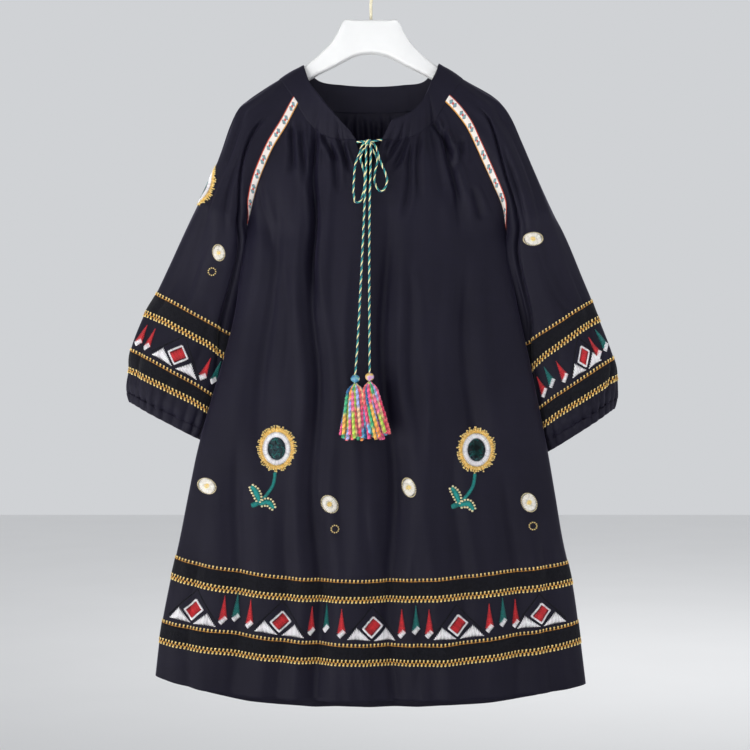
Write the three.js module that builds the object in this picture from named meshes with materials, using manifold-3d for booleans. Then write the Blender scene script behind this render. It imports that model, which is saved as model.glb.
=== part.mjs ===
// An embroidered tunic blouse hanging on a contoured hanger.
//
// Millimetres, +Z up, +X to the right and -Y towards somebody who faces the front, so "left" and
// "right" are theirs. The part's origin is the inside top of the hanger's hook. The tables below
// measure heights from the flat top of the hanger, HOOK_RISE lower.
import * as THREE from "three";
import { mergeVertices } from "three/addons/utils/BufferGeometryUtils.js";
import Module from "manifold-3d";

const wasm = await Module();
wasm.setup();

// ---- driving dimensions ------------------------------------------------------------------------

const HOOK_RISE = 75; // hook's inside top above the hanger's flat top
const CLOTH = 1.2; // wall of the woven cloth
const SEAM = 0.3; // clearance between two pieces that are sewn together
const RIBBON = 1.0; // wall of a ribbon that lies on a panel
const TRIM_WIDTH = 10; // jacquard ribbon along a front raglan seam
const TRIM_INSET = 0.3; // share of the trim's half width that it keeps from the seam
const CENTRE_X = -3; // centre front and centre back line
const FRONT_COLUMNS = 34;
const BACK_COLUMNS = 26;
const SLEEVE_COLUMNS = 28;
const SECTION_POWER = 2.2; // how square the body's lens section is
const CORD = 4; // twisted cord of the neck tie
const CORD_SIDES = 8;
const CORD_STEP = 12;
const BEAD_RADIUS = 6;
const WIRE = 4; // hook's wire
const HOOK_INSIDE = 19; // inside radius of the hook
const HOOK_STEM = [SEAM, 12, 24]; // heights along the hook's straight stem
const HOOK_LEAN = 2.5; // sideways bend of the wire where it joins the hook
const HOOK_BEND_Z = 32;
const HOOK_ARC = { from: -50, to: 200, step: 25 }; // degrees round the hook's middle
const HOOK_STEPS = 30;
const FOLD_RUN = 60; // longest stretch over which a fold fades at its ends
const EDGE_SHARE = 0.55; // how strongly columns crowd towards a seam
const CLOTH_COLOR = 0x25262f;
const BAND_COLOR = 0x17171c;
const TRIM_COLOR = 0xe8e2d4;
const HANGER_COLOR = 0xf2f1ee;
const WIRE_COLOR = 0xe9dfbd;
const TIE_COLOR = 0x9aa878;
const BEAD_COLOR = 0x8fb8a8;
const TASSEL_COLOR = 0xc86a8a;

// Half width of the body, from the centre of the hanger, at a height: raglan seams, then side seams.
const BODY_EDGE = [
  { z: -105, left: 91, right: 90 },
  { z: -115, left: 97, right: 101 },
  { z: -144, left: 112, right: 125 },
  { z: -175, left: 131, right: 141 },
  { z: -200, left: 142.5, right: 152.5 },
  { z: -224, left: 152, right: 164 },
  { z: -249, left: 159.5, right: 175.5 },
  { z: -280, left: 168.5, right: 182.5 },
  { z: -340, left: 176.5, right: 189.5 },
  { z: -400, left: 185.2, right: 201 },
  { z: -460, left: 200.5, right: 214.5 },
  { z: -520, left: 218.5, right: 226.7 },
  { z: -580, left: 234.5, right: 238.6 },
  { z: -640, left: 246.8, right: 248.9 },
  { z: -700, left: 258.6, right: 259 },
  { z: -760, left: 272, right: 272.3 },
  { z: -820, left: 283.4, right: 281 },
  { z: -895, left: 292.5, right: 290.3 },
];

// Rows of the body from neck to hem: height at the left and right edge and at centre front and
// centre back, how flat the row's sag is in the middle, half depth at centre front and back, and
// how full the section is beside the seam (0.5 is round).
const BODY_ROWS = [
  { left: -115, right: -113, front: -157.5, back: -123, sag: 4.0, deep: 36, rear: 28, full: 1.0 },
  { left: -129, right: -122, front: -170, back: -137, sag: 3.8, deep: 37, rear: 30, full: 0.96 },
  { left: -144, right: -136, front: -184, back: -153, sag: 3.6, deep: 38, rear: 32, full: 0.9 },
  { left: -160, right: -153, front: -200, back: -171, sag: 3.4, deep: 39, rear: 34, full: 0.84 },
  { left: -177, right: -172, front: -220, back: -190, sag: 3.2, deep: 40, rear: 36, full: 0.78 },
  { left: -200, right: -196, front: -242, back: -214, sag: 3.0, deep: 41, rear: 38, full: 0.7 },
  { left: -224, right: -224, front: -264, back: -240, sag: 3.0, deep: 42, rear: 39, full: 0.63 },
  { left: -249, right: -253, front: -285, back: -265, sag: 3.0, deep: 42.5, rear: 40, full: 0.57 },
  { left: -275, right: -283, front: -305, back: -292, sag: 3.0, deep: 43, rear: 41, full: 0.52 },
  { left: -330, right: -336, front: -352, back: -345, sag: 3.0, deep: 43.5, rear: 42, full: 0.5 },
  { left: -390, right: -394, front: -408, back: -405, sag: 3.0, deep: 44, rear: 43, full: 0.5 },
  { left: -450, right: -453, front: -468, back: -468, sag: 3.0, deep: 45, rear: 44, full: 0.5 },
  { left: -510, right: -513, front: -530, back: -534, sag: 3.0, deep: 46, rear: 45, full: 0.5 },
  { left: -570, right: -574, front: -594, back: -602, sag: 3.0, deep: 47, rear: 46, full: 0.5 },
  { left: -630, right: -635, front: -655, back: -668, sag: 3.0, deep: 48, rear: 47, full: 0.5 },
  { left: -685, right: -692, front: -712, back: -727, sag: 3.0, deep: 49, rear: 48, full: 0.5 },
  { left: -723, right: -732, front: -751, back: -767, sag: 3.0, deep: 49.5, rear: 48.5, full: 0.5 },
  { left: -749, right: -758, front: -776, back: -792, sag: 3.0, deep: 50, rear: 49, full: 0.5 },
  { left: -810, right: -814, front: -835, back: -851, sag: 3.0, deep: 50.5, rear: 49.5, full: 0.5 },
  { left: -836, right: -840, front: -862, back: -878, sag: 3.0, deep: 51, rear: 50, full: 0.5 },
  { left: -883, right: -894, front: -910, back: -935, sag: 3.0, deep: 52, rear: 51, full: 0.5 },
];
const UNDERARM = 8; // row of the body and of the sleeves at which the raglan seams end
const NECK_GATHERS = [1.0, 2.2, 2.4, 2.0, 1.4, 0.9, 0.5, 0.2]; // their height on the body's first rows
const GATHER_MARGIN = 4; // columns beside a body seam over which gathers and folds fade out
const HEM_BANDS = [
  { name: "upper", from: 16, to: 17 },
  { name: "lower", from: 18, to: 19 },
];

// The back raglan seam starts nearer the middle and higher than the front one.
const BACK_NECK = { inward: 13, up: 8 };

// Front opening below the collar: its half sides close at row SLIT_END.
const SLIT = [
  { left: -20.5, right: 15 },
  { left: -17, right: 10.5 },
  { left: -12.5, right: 6 },
  { left: -8, right: 1.5 },
  { left: -4, right: -2 },
];
const SLIT_END = SLIT.length - 1;
const SLIT_SEAM = 1; // half width of the placket seam below the opening

// Troughs of the body panels: centre line from top to bottom, half width, depth (below 0: a ridge).
const FRONT_FOLDS = [
  { x0: -78, z0: -150, x1: -70, z1: -930, half: 17, depth: 7 },
  { x0: 17, z0: -250, x1: 32, z1: -930, half: 22, depth: 9 },
  { x0: 126, z0: -330, x1: 141, z1: -620, half: 22, depth: 6 },
  { x0: 84, z0: -125, x1: 97, z1: -260, half: 13, depth: 4 },
  { x0: 92, z0: -146, x1: 124, z1: -300, half: 12, depth: 4 },
  { x0: -128, z0: -230, x1: -150, z1: -640, half: 24, depth: 5 },
  { x0: 70, z0: -420, x1: 96, z1: -940, half: 30, depth: -5 },
  { x0: -28, z0: -300, x1: -22, z1: -940, half: 26, depth: -4 },
  { x0: -170, z0: -560, x1: -190, z1: -940, half: 26, depth: 5 },
  { x0: 180, z0: -600, x1: 200, z1: -940, half: 26, depth: 5 },
];
const BACK_FOLDS = [
  { x0: -60, z0: -130, x1: -84, z1: -950, half: 22, depth: 8 },
  { x0: 44, z0: -140, x1: 62, z1: -950, half: 22, depth: 8 },
  { x0: -8, z0: -260, x1: -4, z1: -950, half: 26, depth: 6 },
  { x0: -120, z0: -260, x1: -176, z1: -950, half: 26, depth: 7 },
  { x0: 118, z0: -270, x1: 160, z1: -950, half: 26, depth: 7 },
  { x0: 24, z0: -420, x1: 30, z1: -950, half: 24, depth: -4 },
  { x0: -44, z0: -420, x1: -48, z1: -950, half: 24, depth: -4 },
];

// Rows of a sleeve from neck to cuff: its outer line on each side, half depth, and how far round
// the section reaches (degrees from the outer line; 180 is a closed tube).
const SLEEVE_ROWS = [
  { lx: 121.5, lz: -78, rx: 121.5, rz: -77, deep: 22, reach: 90 },
  { lx: 136, lz: -87, rx: 136, rz: -85.9, deep: 23, reach: 94 },
  { lx: 151, lz: -97, rx: 151, rz: -94.6, deep: 24, reach: 99 },
  { lx: 166, lz: -107.5, rx: 164.5, rz: -103.2, deep: 25, reach: 106 },
  { lx: 179.6, lz: -119, rx: 177, rz: -113.6, deep: 26, reach: 115 },
  { lx: 191, lz: -143, rx: 190.5, rz: -133, deep: 28, reach: 126 },
  { lx: 202, lz: -174, rx: 204, rz: -164, deep: 30, reach: 140 },
  { lx: 216, lz: -209, rx: 223, rz: -209, deep: 31, reach: 158 },
  { lx: 232.7, lz: -246, rx: 243, rz: -255, deep: 32, reach: 180 },
  { lx: 246, lz: -273.5, rx: 257, rz: -284, deep: 33, reach: 180 },
  { lx: 275.5, lz: -335, rx: 283, rz: -344, deep: 34, reach: 180 },
  { lx: 291.5, lz: -368.5, rx: 299, rz: -379, deep: 34, reach: 180 },
  { lx: 307, lz: -395, rx: 309.5, rz: -402, deep: 34, reach: 180 },
  { lx: 327, lz: -446, rx: 330.5, rz: -457, deep: 35, reach: 180 },
  { lx: 329, lz: -471, rx: 333.5, rz: -481, deep: 35, reach: 180 },
  { lx: 330.5, lz: -489, rx: 333, rz: -498, deep: 33, reach: 180 },
  { lx: 328, lz: -501, rx: 330.5, rz: -509, deep: 26, reach: 180 },
];
// The same rows below the underarm: height of the inner line on each side, how far the sleeve lies
// behind the body's middle, and how far its inner line tucks behind the body's edge.
const SLEEVE_INNER = [
  { li: -312, ri: -322, behind: 9, tuck: -1 },
  { li: -388, ri: -400, behind: 23, tuck: 4 },
  { li: -424, ri: -437, behind: 26, tuck: 6 },
  { li: -450, ri: -468, behind: 26, tuck: 7 },
  { li: -505, ri: -523, behind: 26, tuck: 8 },
  { li: -527, ri: -549, behind: 26, tuck: 8 },
  { li: -544, ri: -562, behind: 26, tuck: 7 },
  { li: -553, ri: -570, behind: 26, tuck: 4 },
];
const CUFF_GATHERS = [0.6, 1.6, 2.6, 1.4]; // their height on the last rows of a sleeve
const TRIM_COLUMNS = 2; // columns of a sleeve under the raglan trim, which keep flat
const TRIM_SEARCH = 400; // steps in which a width is measured round a sleeve's section
const TRIM_MARGIN = 3; // columns beside them over which folds fade in
const SLEEVE_BANDS = [
  { name: "upper", from: 11, to: 12 },
  { name: "lower", from: 13, to: 14 },
];
// Folds of a sleeve: place round it (degrees from its outer line, below 0 in front), rows from and
// to, half width in degrees, depth (below 0: a ridge).
const SLEEVE_FOLDS = [
  { round: -62, from: 3, to: 11, half: 32, depth: 4 },
  { round: -18, from: 8, to: 14, half: 36, depth: -3 },
  { round: 70, from: 4, to: 12, half: 36, depth: 5 },
  { round: 120, from: 8, to: 14, half: 36, depth: -3 },
];
const FADE_ROWS = 2; // rows over which a sleeve's fold fades at its ends
// The cuff's lower edge: outer line, height of the inner line and half depth.
const CUFF_HEM = { lx: 328, lz: -514.5, rx: 330.5, rz: -523.5, li: -568, ri: -585, deep: 24.5, tuck: 3 };
const CUFF_COLUMNS = 32;
const CUFF_DROP = 1; // the cuff's seam edge below the sleeve's last row

// Free edge of the collar band, by the share of the way round the neck seam: 0 is the left front
// end, 1 the left front raglan seam, 2 the left back one, 3 centre back, and so on to 6.
const COLLAR_EDGE = [
  { at: 0, x: -26.5, y: -37.5, z: -148 },
  { at: 0.25, x: -41, y: -37, z: -133 },
  { at: 0.5, x: -56, y: -33, z: -117 },
  { at: 0.75, x: -70, y: -28, z: -103 },
  { at: 1, x: -82, y: -20, z: -85.5 },
  { at: 1.25, x: -88, y: -12.5, z: -70 },
  { at: 1.375, x: -90, y: -9.8, z: -63.5 },
  { at: 1.5, x: -90.5, y: 0, z: -60.5 },
  { at: 1.625, x: -89, y: 9.8, z: -62 },
  { at: 1.75, x: -84, y: 13.5, z: -67.5 },
  { at: 2, x: -72, y: 20, z: -77 },
  { at: 2.5, x: -38, y: 25.5, z: -85 },
  { at: 3, x: 3, y: 27, z: -88 },
  { at: 3.5, x: 43, y: 25.5, z: -85 },
  { at: 4, x: 74, y: 20, z: -77 },
  { at: 4.25, x: 85, y: 13.5, z: -65 },
  { at: 4.375, x: 89.5, y: 9.8, z: -60.5 },
  { at: 4.5, x: 91, y: 0, z: -58.5 },
  { at: 4.625, x: 90.5, y: -9.8, z: -61.5 },
  { at: 4.75, x: 88.5, y: -12.5, z: -68 },
  { at: 5, x: 82, y: -20, z: -82 },
  { at: 5.25, x: 73.5, y: -27, z: -102.5 },
  { at: 5.5, x: 60, y: -32, z: -118.5 },
  { at: 5.75, x: 44, y: -36, z: -128 },
  { at: 6, x: 27, y: -38, z: -133.5 },
];
const COLLAR_ROWS = 2;

// Hanger: top and bottom of its outline, half thickness and corner radius, by the distance from
// its middle.
const HANGER = [
  { x: 0, top: 0, low: -44, half: 12, round: 4 },
  { x: 12, top: 0, low: -45, half: 12, round: 4 },
  { x: 25, top: 0, low: -49, half: 12, round: 4 },
  { x: 35, top: 0, low: -54, half: 12, round: 4 },
  { x: 37, top: -1.5, low: -55, half: 12, round: 4 },
  { x: 44, top: -15.5, low: -59, half: 12, round: 4 },
  { x: 52, top: -28.5, low: -63, half: 11.5, round: 4 },
  { x: 66, top: -43, low: -70, half: 10.5, round: 4.5 },
  { x: 80, top: -55, low: -78, half: 9, round: 5 },
  { x: 92, top: -63.5, low: -85, half: 8, round: 5.5 },
  { x: 120, top: -79.9, low: -100, half: 8, round: 6 },
  { x: 145, top: -95.4, low: -114, half: 7.5, round: 6 },
  { x: 160, top: -105.5, low: -122, half: 7, round: 5.5 },
  { x: 169, top: -113.3, low: -127, half: 5.5, round: 4.5 },
];

// Routes of the tie: cord from the collar to the knot, bow loops and hanging tails. An end inside
// the knot is cut off at its surface.
const KNOT = { x: -3.4, y: -46, z: -163.4, wide: 7.5, deep: 5.5, tall: 5 };
const CORDS = [
  {
    name: "tie_bridge_left",
    points: [[-18.4, -38.8, -162.2], [-14.5, -41.5, -161.8],
      [-10.2, -44.5, -162.4], [-6.4, -46, -163.2]],
  },
  {
    name: "tie_bridge_right",
    points: [[14.4, -39, -159.2], [9.5, -42, -160.2],
      [3.5, -45, -161.8], [-0.4, -46, -163.2]],
  },
  {
    name: "tie_loop_left",
    points: [
      [-6.4, -46.8, -164], [-10.6, -47.6, -166.2], [-14.8, -49.3, -178], [-20.3, -49.5, -192],
      [-22.2, -49.5, -210], [-22.8, -49.5, -231], [-20.3, -49.5, -244.2], [-14.5, -49.5, -243.6],
      [-10.9, -49.8, -235], [-9.7, -50, -218], [-9.9, -50, -200], [-9, -48, -184],
      [-6.4, -43.8, -171.5], [-5.4, -44, -165],
    ],
  },
  {
    name: "tie_loop_right",
    points: [
      [-0.4, -46.8, -164], [3.8, -47.5, -166], [7.4, -49.3, -172], [12, -49.5, -187.6],
      [18.9, -49.5, -203.8], [21.3, -49.5, -212], [19.8, -49.5, -223], [13.5, -49.5, -230],
      [7.1, -49.5, -224], [4.6, -49.8, -212], [6.3, -50, -198.4], [8.4, -49.5, -190],
      [6.2, -47.6, -180], [1, -43.8, -171.5], [-0.8, -44, -165],
    ],
  },
  {
    name: "tie_tail_left",
    points: [
      [-5.4, -49.5, -165], [-6.4, -52.4, -170], [-6.3, -54.8, -180], [-6.4, -55.5, -200],
      [-7.8, -56, -235], [-9.2, -57, -268], [-12, -59, -330], [-15.5, -62, -400],
      [-18.4, -64.5, -450], [-20.3, -65.9, -476.4],
    ],
  },
  {
    name: "tie_tail_right",
    points: [
      [-1.2, -49.5, -165], [-0.3, -52.4, -170], [-0.2, -54.8, -180], [-0.6, -55.5, -200],
      [-1.4, -56, -235], [-1.9, -57, -268], [-2.2, -59, -330], [-2, -62, -400],
      [-1.7, -64.5, -450], [-1.7, -65.9, -473.9],
    ],
  },
];
// Bead and tassel on each tail: heights, how far the tips lean sideways, half width at the tips.
const TASSELS = [
  { side: "left", x: -20.5, y: -66, bead: -482.8, top: -489.4, bottom: -565, lean: -3.8, spread: 15 },
  { side: "right", x: -1.7, y: -66, bead: -480.3, top: -486.9, bottom: -563, lean: 12.2, spread: 14 },
];
// Rings of strands in a tassel, by share of its spread.
const TASSEL_RINGS = [
  { strands: 13, share: 1 },
  { strands: 7, share: 0.52 },
];
// Bound head: its radius and height, depth by width, height share of its shoulder and radius share
// of its neck.
const TASSEL_HEAD = { radius: 6.5, tall: 14, flat: 0.85, shoulder: 0.3, neck: 0.6 };
// Strand: radius at root and tip, sections, how deep the tassel spreads, the root's place in the
// head (shares of its radius and height), and how much shorter and how uneven the tips are.
const STRAND = {
  root: 1.3,
  tip: 1.7,
  bends: 2,
  depth: 6.5,
  inward: 0.62,
  down: 0.7,
  shorter: 4,
  uneven: 2,
};

// ---- helpers -----------------------------------------------------------------------------------

const lerp = THREE.MathUtils.lerp;
const clamp = THREE.MathUtils.clamp;
const radians = THREE.MathUtils.degToRad;

// Value of a table's column where its key column has the given value, between two rows.
function between(table, key, value, column) {
  const rising = table[table.length - 1][key] > table[0][key];
  let i = 0;
  const isPast = (row) => (rising ? value > row[key] : value < row[key]);
  while (i < table.length - 2 && isPast(table[i + 1])) i += 1;
  const share = (value - table[i][key]) / (table[i + 1][key] - table[i][key]);
  return lerp(table[i][column], table[i + 1][column], clamp(share, 0, 1));
}

// Half a cosine bump: 1 in the middle, 0 from the given distance on.
function bump(distance, half) {
  return Math.abs(distance) < half ? 0.5 + 0.5 * Math.cos((Math.PI * distance) / half) : 0;
}

// 0 before the start of a range, 1 well inside it and 0 past its end.
function fade(value, start, end, run) {
  return clamp(Math.min((value - start) / run, (end - value) / run), 0, 1);
}

// Vertex normals of a grid of points, averaged over the cells that a cell test keeps.
function gridNormals(grid, index, keep) {
  const sums = new Map();
  for (let r = 0; r + 1 < grid.length; r += 1) {
    for (let c = 0; c + 1 < grid[r].length; c += 1) {
      if (!keep(r, c)) continue;
      const diagonal1 = grid[r + 1][c + 1].clone().sub(grid[r][c]);
      const diagonal2 = grid[r + 1][c].clone().sub(grid[r][c + 1]);
      const normal = diagonal2.cross(diagonal1).normalize();
      for (const [i, j] of [[r, c], [r, c + 1], [r + 1, c], [r + 1, c + 1]]) {
        const id = index(i, j);
        sums.set(id, (sums.get(id) || new THREE.Vector3()).clone().add(normal));
      }
    }
  }
  const none = new THREE.Vector3(0, -1, 0);
  const normalAt = (r, c) => (sums.get(index(r, c)) || none).clone().normalize();
  return grid.map((row, r) => row.map((_, c) => normalAt(r, c)));
}

const always = () => true;
const never = () => false;

// A wall between two copies of a grid of points, moved along its normals: each kept cell has two
// faces, and each edge with a cell on one side only is closed. Cells are listed left to right and
// top to bottom as seen from outside. A weld joins the last column to the first on some rows. At
// a side seam the wall is square to the seam, so that it stays on its own side.
function wall(grid, options = {}) {
  const { outside = 0, inside = -CLOTH, keep = always, welded = never, sideSeam = never } = options;
  const columns = grid[0].length;
  const index = (r, c) => (c === columns - 1 && welded(r) ? r * columns : r * columns + c);
  const normals = gridNormals(grid, index, keep);
  normals.forEach((row, r) => {
    for (const c of [0, columns - 1]) {
      if (sideSeam(r)) row[c].setY(0).normalize();
    }
  });
  const moved = (p, r, c, offset) => p.clone().addScaledVector(normals[r][c], offset);
  const layer = (offset) => grid.flatMap((row, r) => row.map((p, c) => moved(p, r, c, offset)));
  const points = [...layer(outside), ...layer(inside)];
  const back = grid.length * columns;
  const faces = [];
  const edges = new Map();
  const addEdge = (a, b) => {
    if (a === b) return;
    if (edges.has(b + "," + a)) edges.delete(b + "," + a);
    else edges.set(a + "," + b, [a, b]);
  };
  const addFace = (a, b, c) => {
    if (a === b || b === c || c === a) return;
    faces.push(a, b, c, back + a, back + c, back + b);
  };
  for (let r = 0; r + 1 < grid.length; r += 1) {
    for (let c = 0; c + 1 < columns; c += 1) {
      if (!keep(r, c)) continue;
      const corners = [index(r, c), index(r + 1, c), index(r + 1, c + 1), index(r, c + 1)];
      addFace(corners[0], corners[1], corners[2]);
      addFace(corners[0], corners[2], corners[3]);
      corners.forEach((corner, k) => addEdge(corner, corners[(k + 1) % 4]));
    }
  }
  for (const [a, b] of edges.values()) {
    faces.push(b, a, back + a, b, back + a, back + b);
  }
  const geometry = new THREE.BufferGeometry().setFromPoints(points);
  geometry.setIndex(faces);
  return geometry;
}

// Grid with each point moved along its normal by a height worked out from its row and column.
function raised(grid, height, keep = always, welded = never) {
  const columns = grid[0].length;
  const index = (r, c) => (c === columns - 1 && welded(r) ? r * columns : r * columns + c);
  const normals = gridNormals(grid, index, keep);
  return grid.map((row, r) => row.map((p, c) => p.clone().addScaledVector(normals[r][c], height(r, c, p))));
}

function solidOf(geometry) {
  const bare = geometry.clone();
  bare.deleteAttribute("normal");
  bare.deleteAttribute("uv");
  const merged = mergeVertices(bare, 1e-4);
  const triVerts = new Uint32Array(merged.index.array);
  const vertProperties = new Float32Array(merged.attributes.position.array);
  return new wasm.Manifold(new wasm.Mesh({ numProp: 3, vertProperties, triVerts }));
}

function geometryOf(solid) {
  const mesh = solid.getMesh();
  const geometry = new THREE.BufferGeometry();
  geometry.setAttribute("position", new THREE.BufferAttribute(mesh.vertProperties, 3));
  geometry.setIndex(new THREE.BufferAttribute(mesh.triVerts, 1));
  return geometry;
}

const garment = new THREE.Group();
garment.position.z = -HOOK_RISE;

function add(name, geometry, color, roughness = 0.8) {
  const mesh = new THREE.Mesh(geometry, new THREE.MeshStandardMaterial({ color, roughness, metalness: 0 }));
  mesh.name = name;
  garment.add(mesh);
}

// ---- body panels -------------------------------------------------------------------------------

// Half depth of the body at a raglan seam, where the sleeve's section ends.
function seamDepth(row) {
  if (row >= UNDERARM) return 0;
  return SLEEVE_ROWS[row].deep * Math.sin(radians(SLEEVE_ROWS[row].reach));
}

function signOf(side) {
  return side === "left" ? -1 : 1;
}

// Edge point of a body row in the picture plane: side is "left" or "right", face "front" or "back".
function edgePoint(row, side, face) {
  const z = BODY_ROWS[row][side];
  const shift = face === "back" && row < UNDERARM ? 1 - row / UNDERARM : 0;
  const x = between(BODY_EDGE, "z", z, side) - shift * BACK_NECK.inward;
  return { x: signOf(side) * x, z: z + shift * BACK_NECK.up };
}

// The same point, on the body's side of the seam.
function insetEdge(row, side, face) {
  const edge = edgePoint(row, side, face);
  return { x: edge.x + (side === "left" ? SEAM : -SEAM) / 2, z: edge.z };
}

// Point of a body panel: a lens section between the seams, whose row sags towards the middle.
function bodyPoint(row, x, face) {
  const shape = BODY_ROWS[row];
  const side = x < CENTRE_X ? "left" : "right";
  const edge = insetEdge(row, side, face);
  const share = clamp((x - CENTRE_X) / (edge.x - CENTRE_X), 0, 1);
  const middle = face === "front" ? shape.front : shape.back;
  const z = middle + (edge.z - middle) * share ** shape.sag;
  const deepest = face === "front" ? shape.deep : shape.rear;
  const shallow = seamDepth(row);
  const depth = shallow + (deepest - shallow) * (1 - share ** SECTION_POWER) ** shape.full;
  const away = Math.max(depth, SEAM / 2);
  return new THREE.Vector3(x, face === "front" ? -away : away, z);
}

function foldHeight(folds, x, z) {
  let height = 0;
  for (const fold of folds) {
    const share = clamp((z - fold.z0) / (fold.z1 - fold.z0), 0, 1);
    const run = Math.min(FOLD_RUN, Math.abs(fold.z1 - fold.z0) / 3);
    const line = lerp(fold.x0, fold.x1, share);
    height -= fold.depth * bump(x - line, fold.half) * fade(-z, -fold.z0, -fold.z1, run);
  }
  return height;
}

// Gathers: ridges and troughs turn by turn across the columns, uneven in height.
function gather(column, tall = 0) {
  const uneven = 0.75 + 0.25 * Math.sin(2.3 * column);
  return (column % 2 ? 1 : -1) * uneven * tall;
}

// Columns stand closer together beside the seams, where the section turns.
function crowded(share) {
  return lerp(share, Math.sin((Math.PI / 2) * share), EDGE_SHARE);
}

function frontGrid() {
  const half = FRONT_COLUMNS / 2;
  return BODY_ROWS.map((_, row) => {
    const left = insetEdge(row, "left", "front").x;
    const right = insetEdge(row, "right", "front").x;
    const slit = SLIT[row] || { left: CENTRE_X - SLIT_SEAM, right: CENTRE_X + SLIT_SEAM };
    const across = [];
    for (let c = 0; c <= half; c += 1) across.push(lerp(slit.left, left, crowded(1 - c / half)));
    for (let c = 0; c <= half; c += 1) across.push(lerp(slit.right, right, crowded(c / half)));
    return across.map((x) => bodyPoint(row, x, "front"));
  });
}

function backGrid() {
  return BODY_ROWS.map((_, row) => {
    const left = insetEdge(row, "left", "back").x;
    const right = insetEdge(row, "right", "back").x;
    const across = [];
    for (let c = 0; c <= BACK_COLUMNS; c += 1) {
      const share = (2 * c) / BACK_COLUMNS - 1;
      const edge = share < 0 ? left : right;
      across.push(lerp(CENTRE_X, edge, crowded(Math.abs(share))));
    }
    return across.reverse().map((x) => bodyPoint(row, x, "back"));
  });
}

function shapedBody(grid, folds, keep) {
  const last = grid[0].length - 1;
  return raised(
    grid,
    (r, c, p) => {
      const margin = clamp(Math.min(c, last - c) / GATHER_MARGIN, 0, 1);
      return margin * (gather(c, NECK_GATHERS[r]) + foldHeight(folds, p.x, p.z));
    },
    keep,
  );
}

// The opening is one column wide, between the halves.
const slitColumn = FRONT_COLUMNS / 2;
const inFront = (r, c) => !(c === slitColumn && r < SLIT_END);
const front = shapedBody(frontGrid(), FRONT_FOLDS, inFront);
const back = shapedBody(backGrid(), BACK_FOLDS, always);
const belowArm = (r) => r >= UNDERARM;
add("front_panel", wall(front, { keep: inFront, sideSeam: belowArm }), CLOTH_COLOR);
add("back_panel", wall(back, { sideSeam: belowArm }), CLOTH_COLOR);

// A ribbon on a panel: some of the panel's own points, moved out.
function ribbon(grid, from, to, ends) {
  const rows = grid.slice(from, to + 1);
  return wall(rows, { outside: SEAM + RIBBON, inside: SEAM, ...ends });
}

for (const band of HEM_BANDS) {
  const ends = { sideSeam: always };
  add("hem_band_" + band.name + "_front", ribbon(front, band.from, band.to, ends), BAND_COLOR);
  add("hem_band_" + band.name + "_back", ribbon(back, band.from, band.to, ends), BAND_COLOR);
}

// ---- sleeves and cuffs -------------------------------------------------------------------------

// Inner line of a sleeve or cuff: a point behind the body's edge.
function tuckedPoint(side, shape) {
  const z = shape[side[0] + "i"];
  return { x: signOf(side) * (between(BODY_EDGE, "z", z, side) - shape.tuck), z };
}

// Point of a sleeve's section: an arc from the outer line to the front or back seam, or all the
// way round to the inner line below the underarm. Negative angles are in front.
function sleevePoint(row, side, angle) {
  const shape = SLEEVE_ROWS[row];
  const sign = signOf(side);
  const outer = { x: sign * shape[side[0] + "x"], z: shape[side[0] + "z"] };
  let inner = null;
  let behind = 0;
  if (row <= UNDERARM) {
    inner = edgePoint(row, side, angle < 0 ? "front" : "back");
  } else {
    inner = tuckedPoint(side, SLEEVE_INNER[row - UNDERARM - 1]);
    behind = SLEEVE_INNER[row - UNDERARM - 1].behind;
  }
  inner.x += (sign * SEAM) / 2;
  return sectionPoint(outer, inner, shape.deep, radians(shape.reach), angle, behind);
}

// Point of an arc between an outer and an inner point, at an angle from the outer point.
function sectionPoint(outer, inner, deep, reach, angle, behind) {
  const share = (1 - Math.cos(angle)) / (1 - Math.cos(reach));
  const x = lerp(outer.x, inner.x, share);
  const z = lerp(outer.z, inner.z, share);
  return new THREE.Vector3(x, behind + deep * Math.sin(angle), z);
}

// Evenly spaced values from the first to the last, in the given number of steps.
function spread(first, last, steps) {
  return Array.from({ length: steps + 1 }, (_, i) => lerp(first, last, i / steps));
}

// Angles of the columns. Above the underarm the first two columns are a trim's width.
function sleeveAngles(row, side) {
  const reach = radians(SLEEVE_ROWS[row].reach);
  if (row > UNDERARM) return spread(-reach, reach, SLEEVE_COLUMNS);
  const start = sleevePoint(row, side, -reach);
  const step = reach / TRIM_SEARCH;
  let angle = -reach;
  const marks = [];
  for (const width of [TRIM_WIDTH / 2, TRIM_WIDTH]) {
    while (angle < 0 && sleevePoint(row, side, angle).distanceTo(start) < width) angle += step;
    marks.push(angle);
  }
  return [-reach, marks[0], ...spread(marks[1], reach, SLEEVE_COLUMNS - TRIM_COLUMNS)];
}

function sleeveGrid(side) {
  const firstGathered = SLEEVE_ROWS.length - CUFF_GATHERS.length;
  const base = SLEEVE_ROWS.map((_, row) => {
    const points = sleeveAngles(row, side).map((angle) => sleevePoint(row, side, angle));
    return side === "left" ? points.reverse() : points;
  });
  return raised(
    base,
    (r, c) => {
      const column = side === "left" ? SLEEVE_COLUMNS - c : c;
      const round = lerp(-180, 180, column / SLEEVE_COLUMNS);
      const fromSeam = Math.min(column, SLEEVE_COLUMNS - column) - TRIM_COLUMNS;
      const margin = r < UNDERARM ? clamp(fromSeam / TRIM_MARGIN, 0, 1) : 1;
      let height = gather(column % SLEEVE_COLUMNS, CUFF_GATHERS[r - firstGathered]);
      for (const fold of SLEEVE_FOLDS) {
        height -= fold.depth * bump(round - fold.round, fold.half) * fade(r, fold.from, fold.to, FADE_ROWS);
      }
      return margin * height;
    },
    always,
    belowArm,
  );
}

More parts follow.
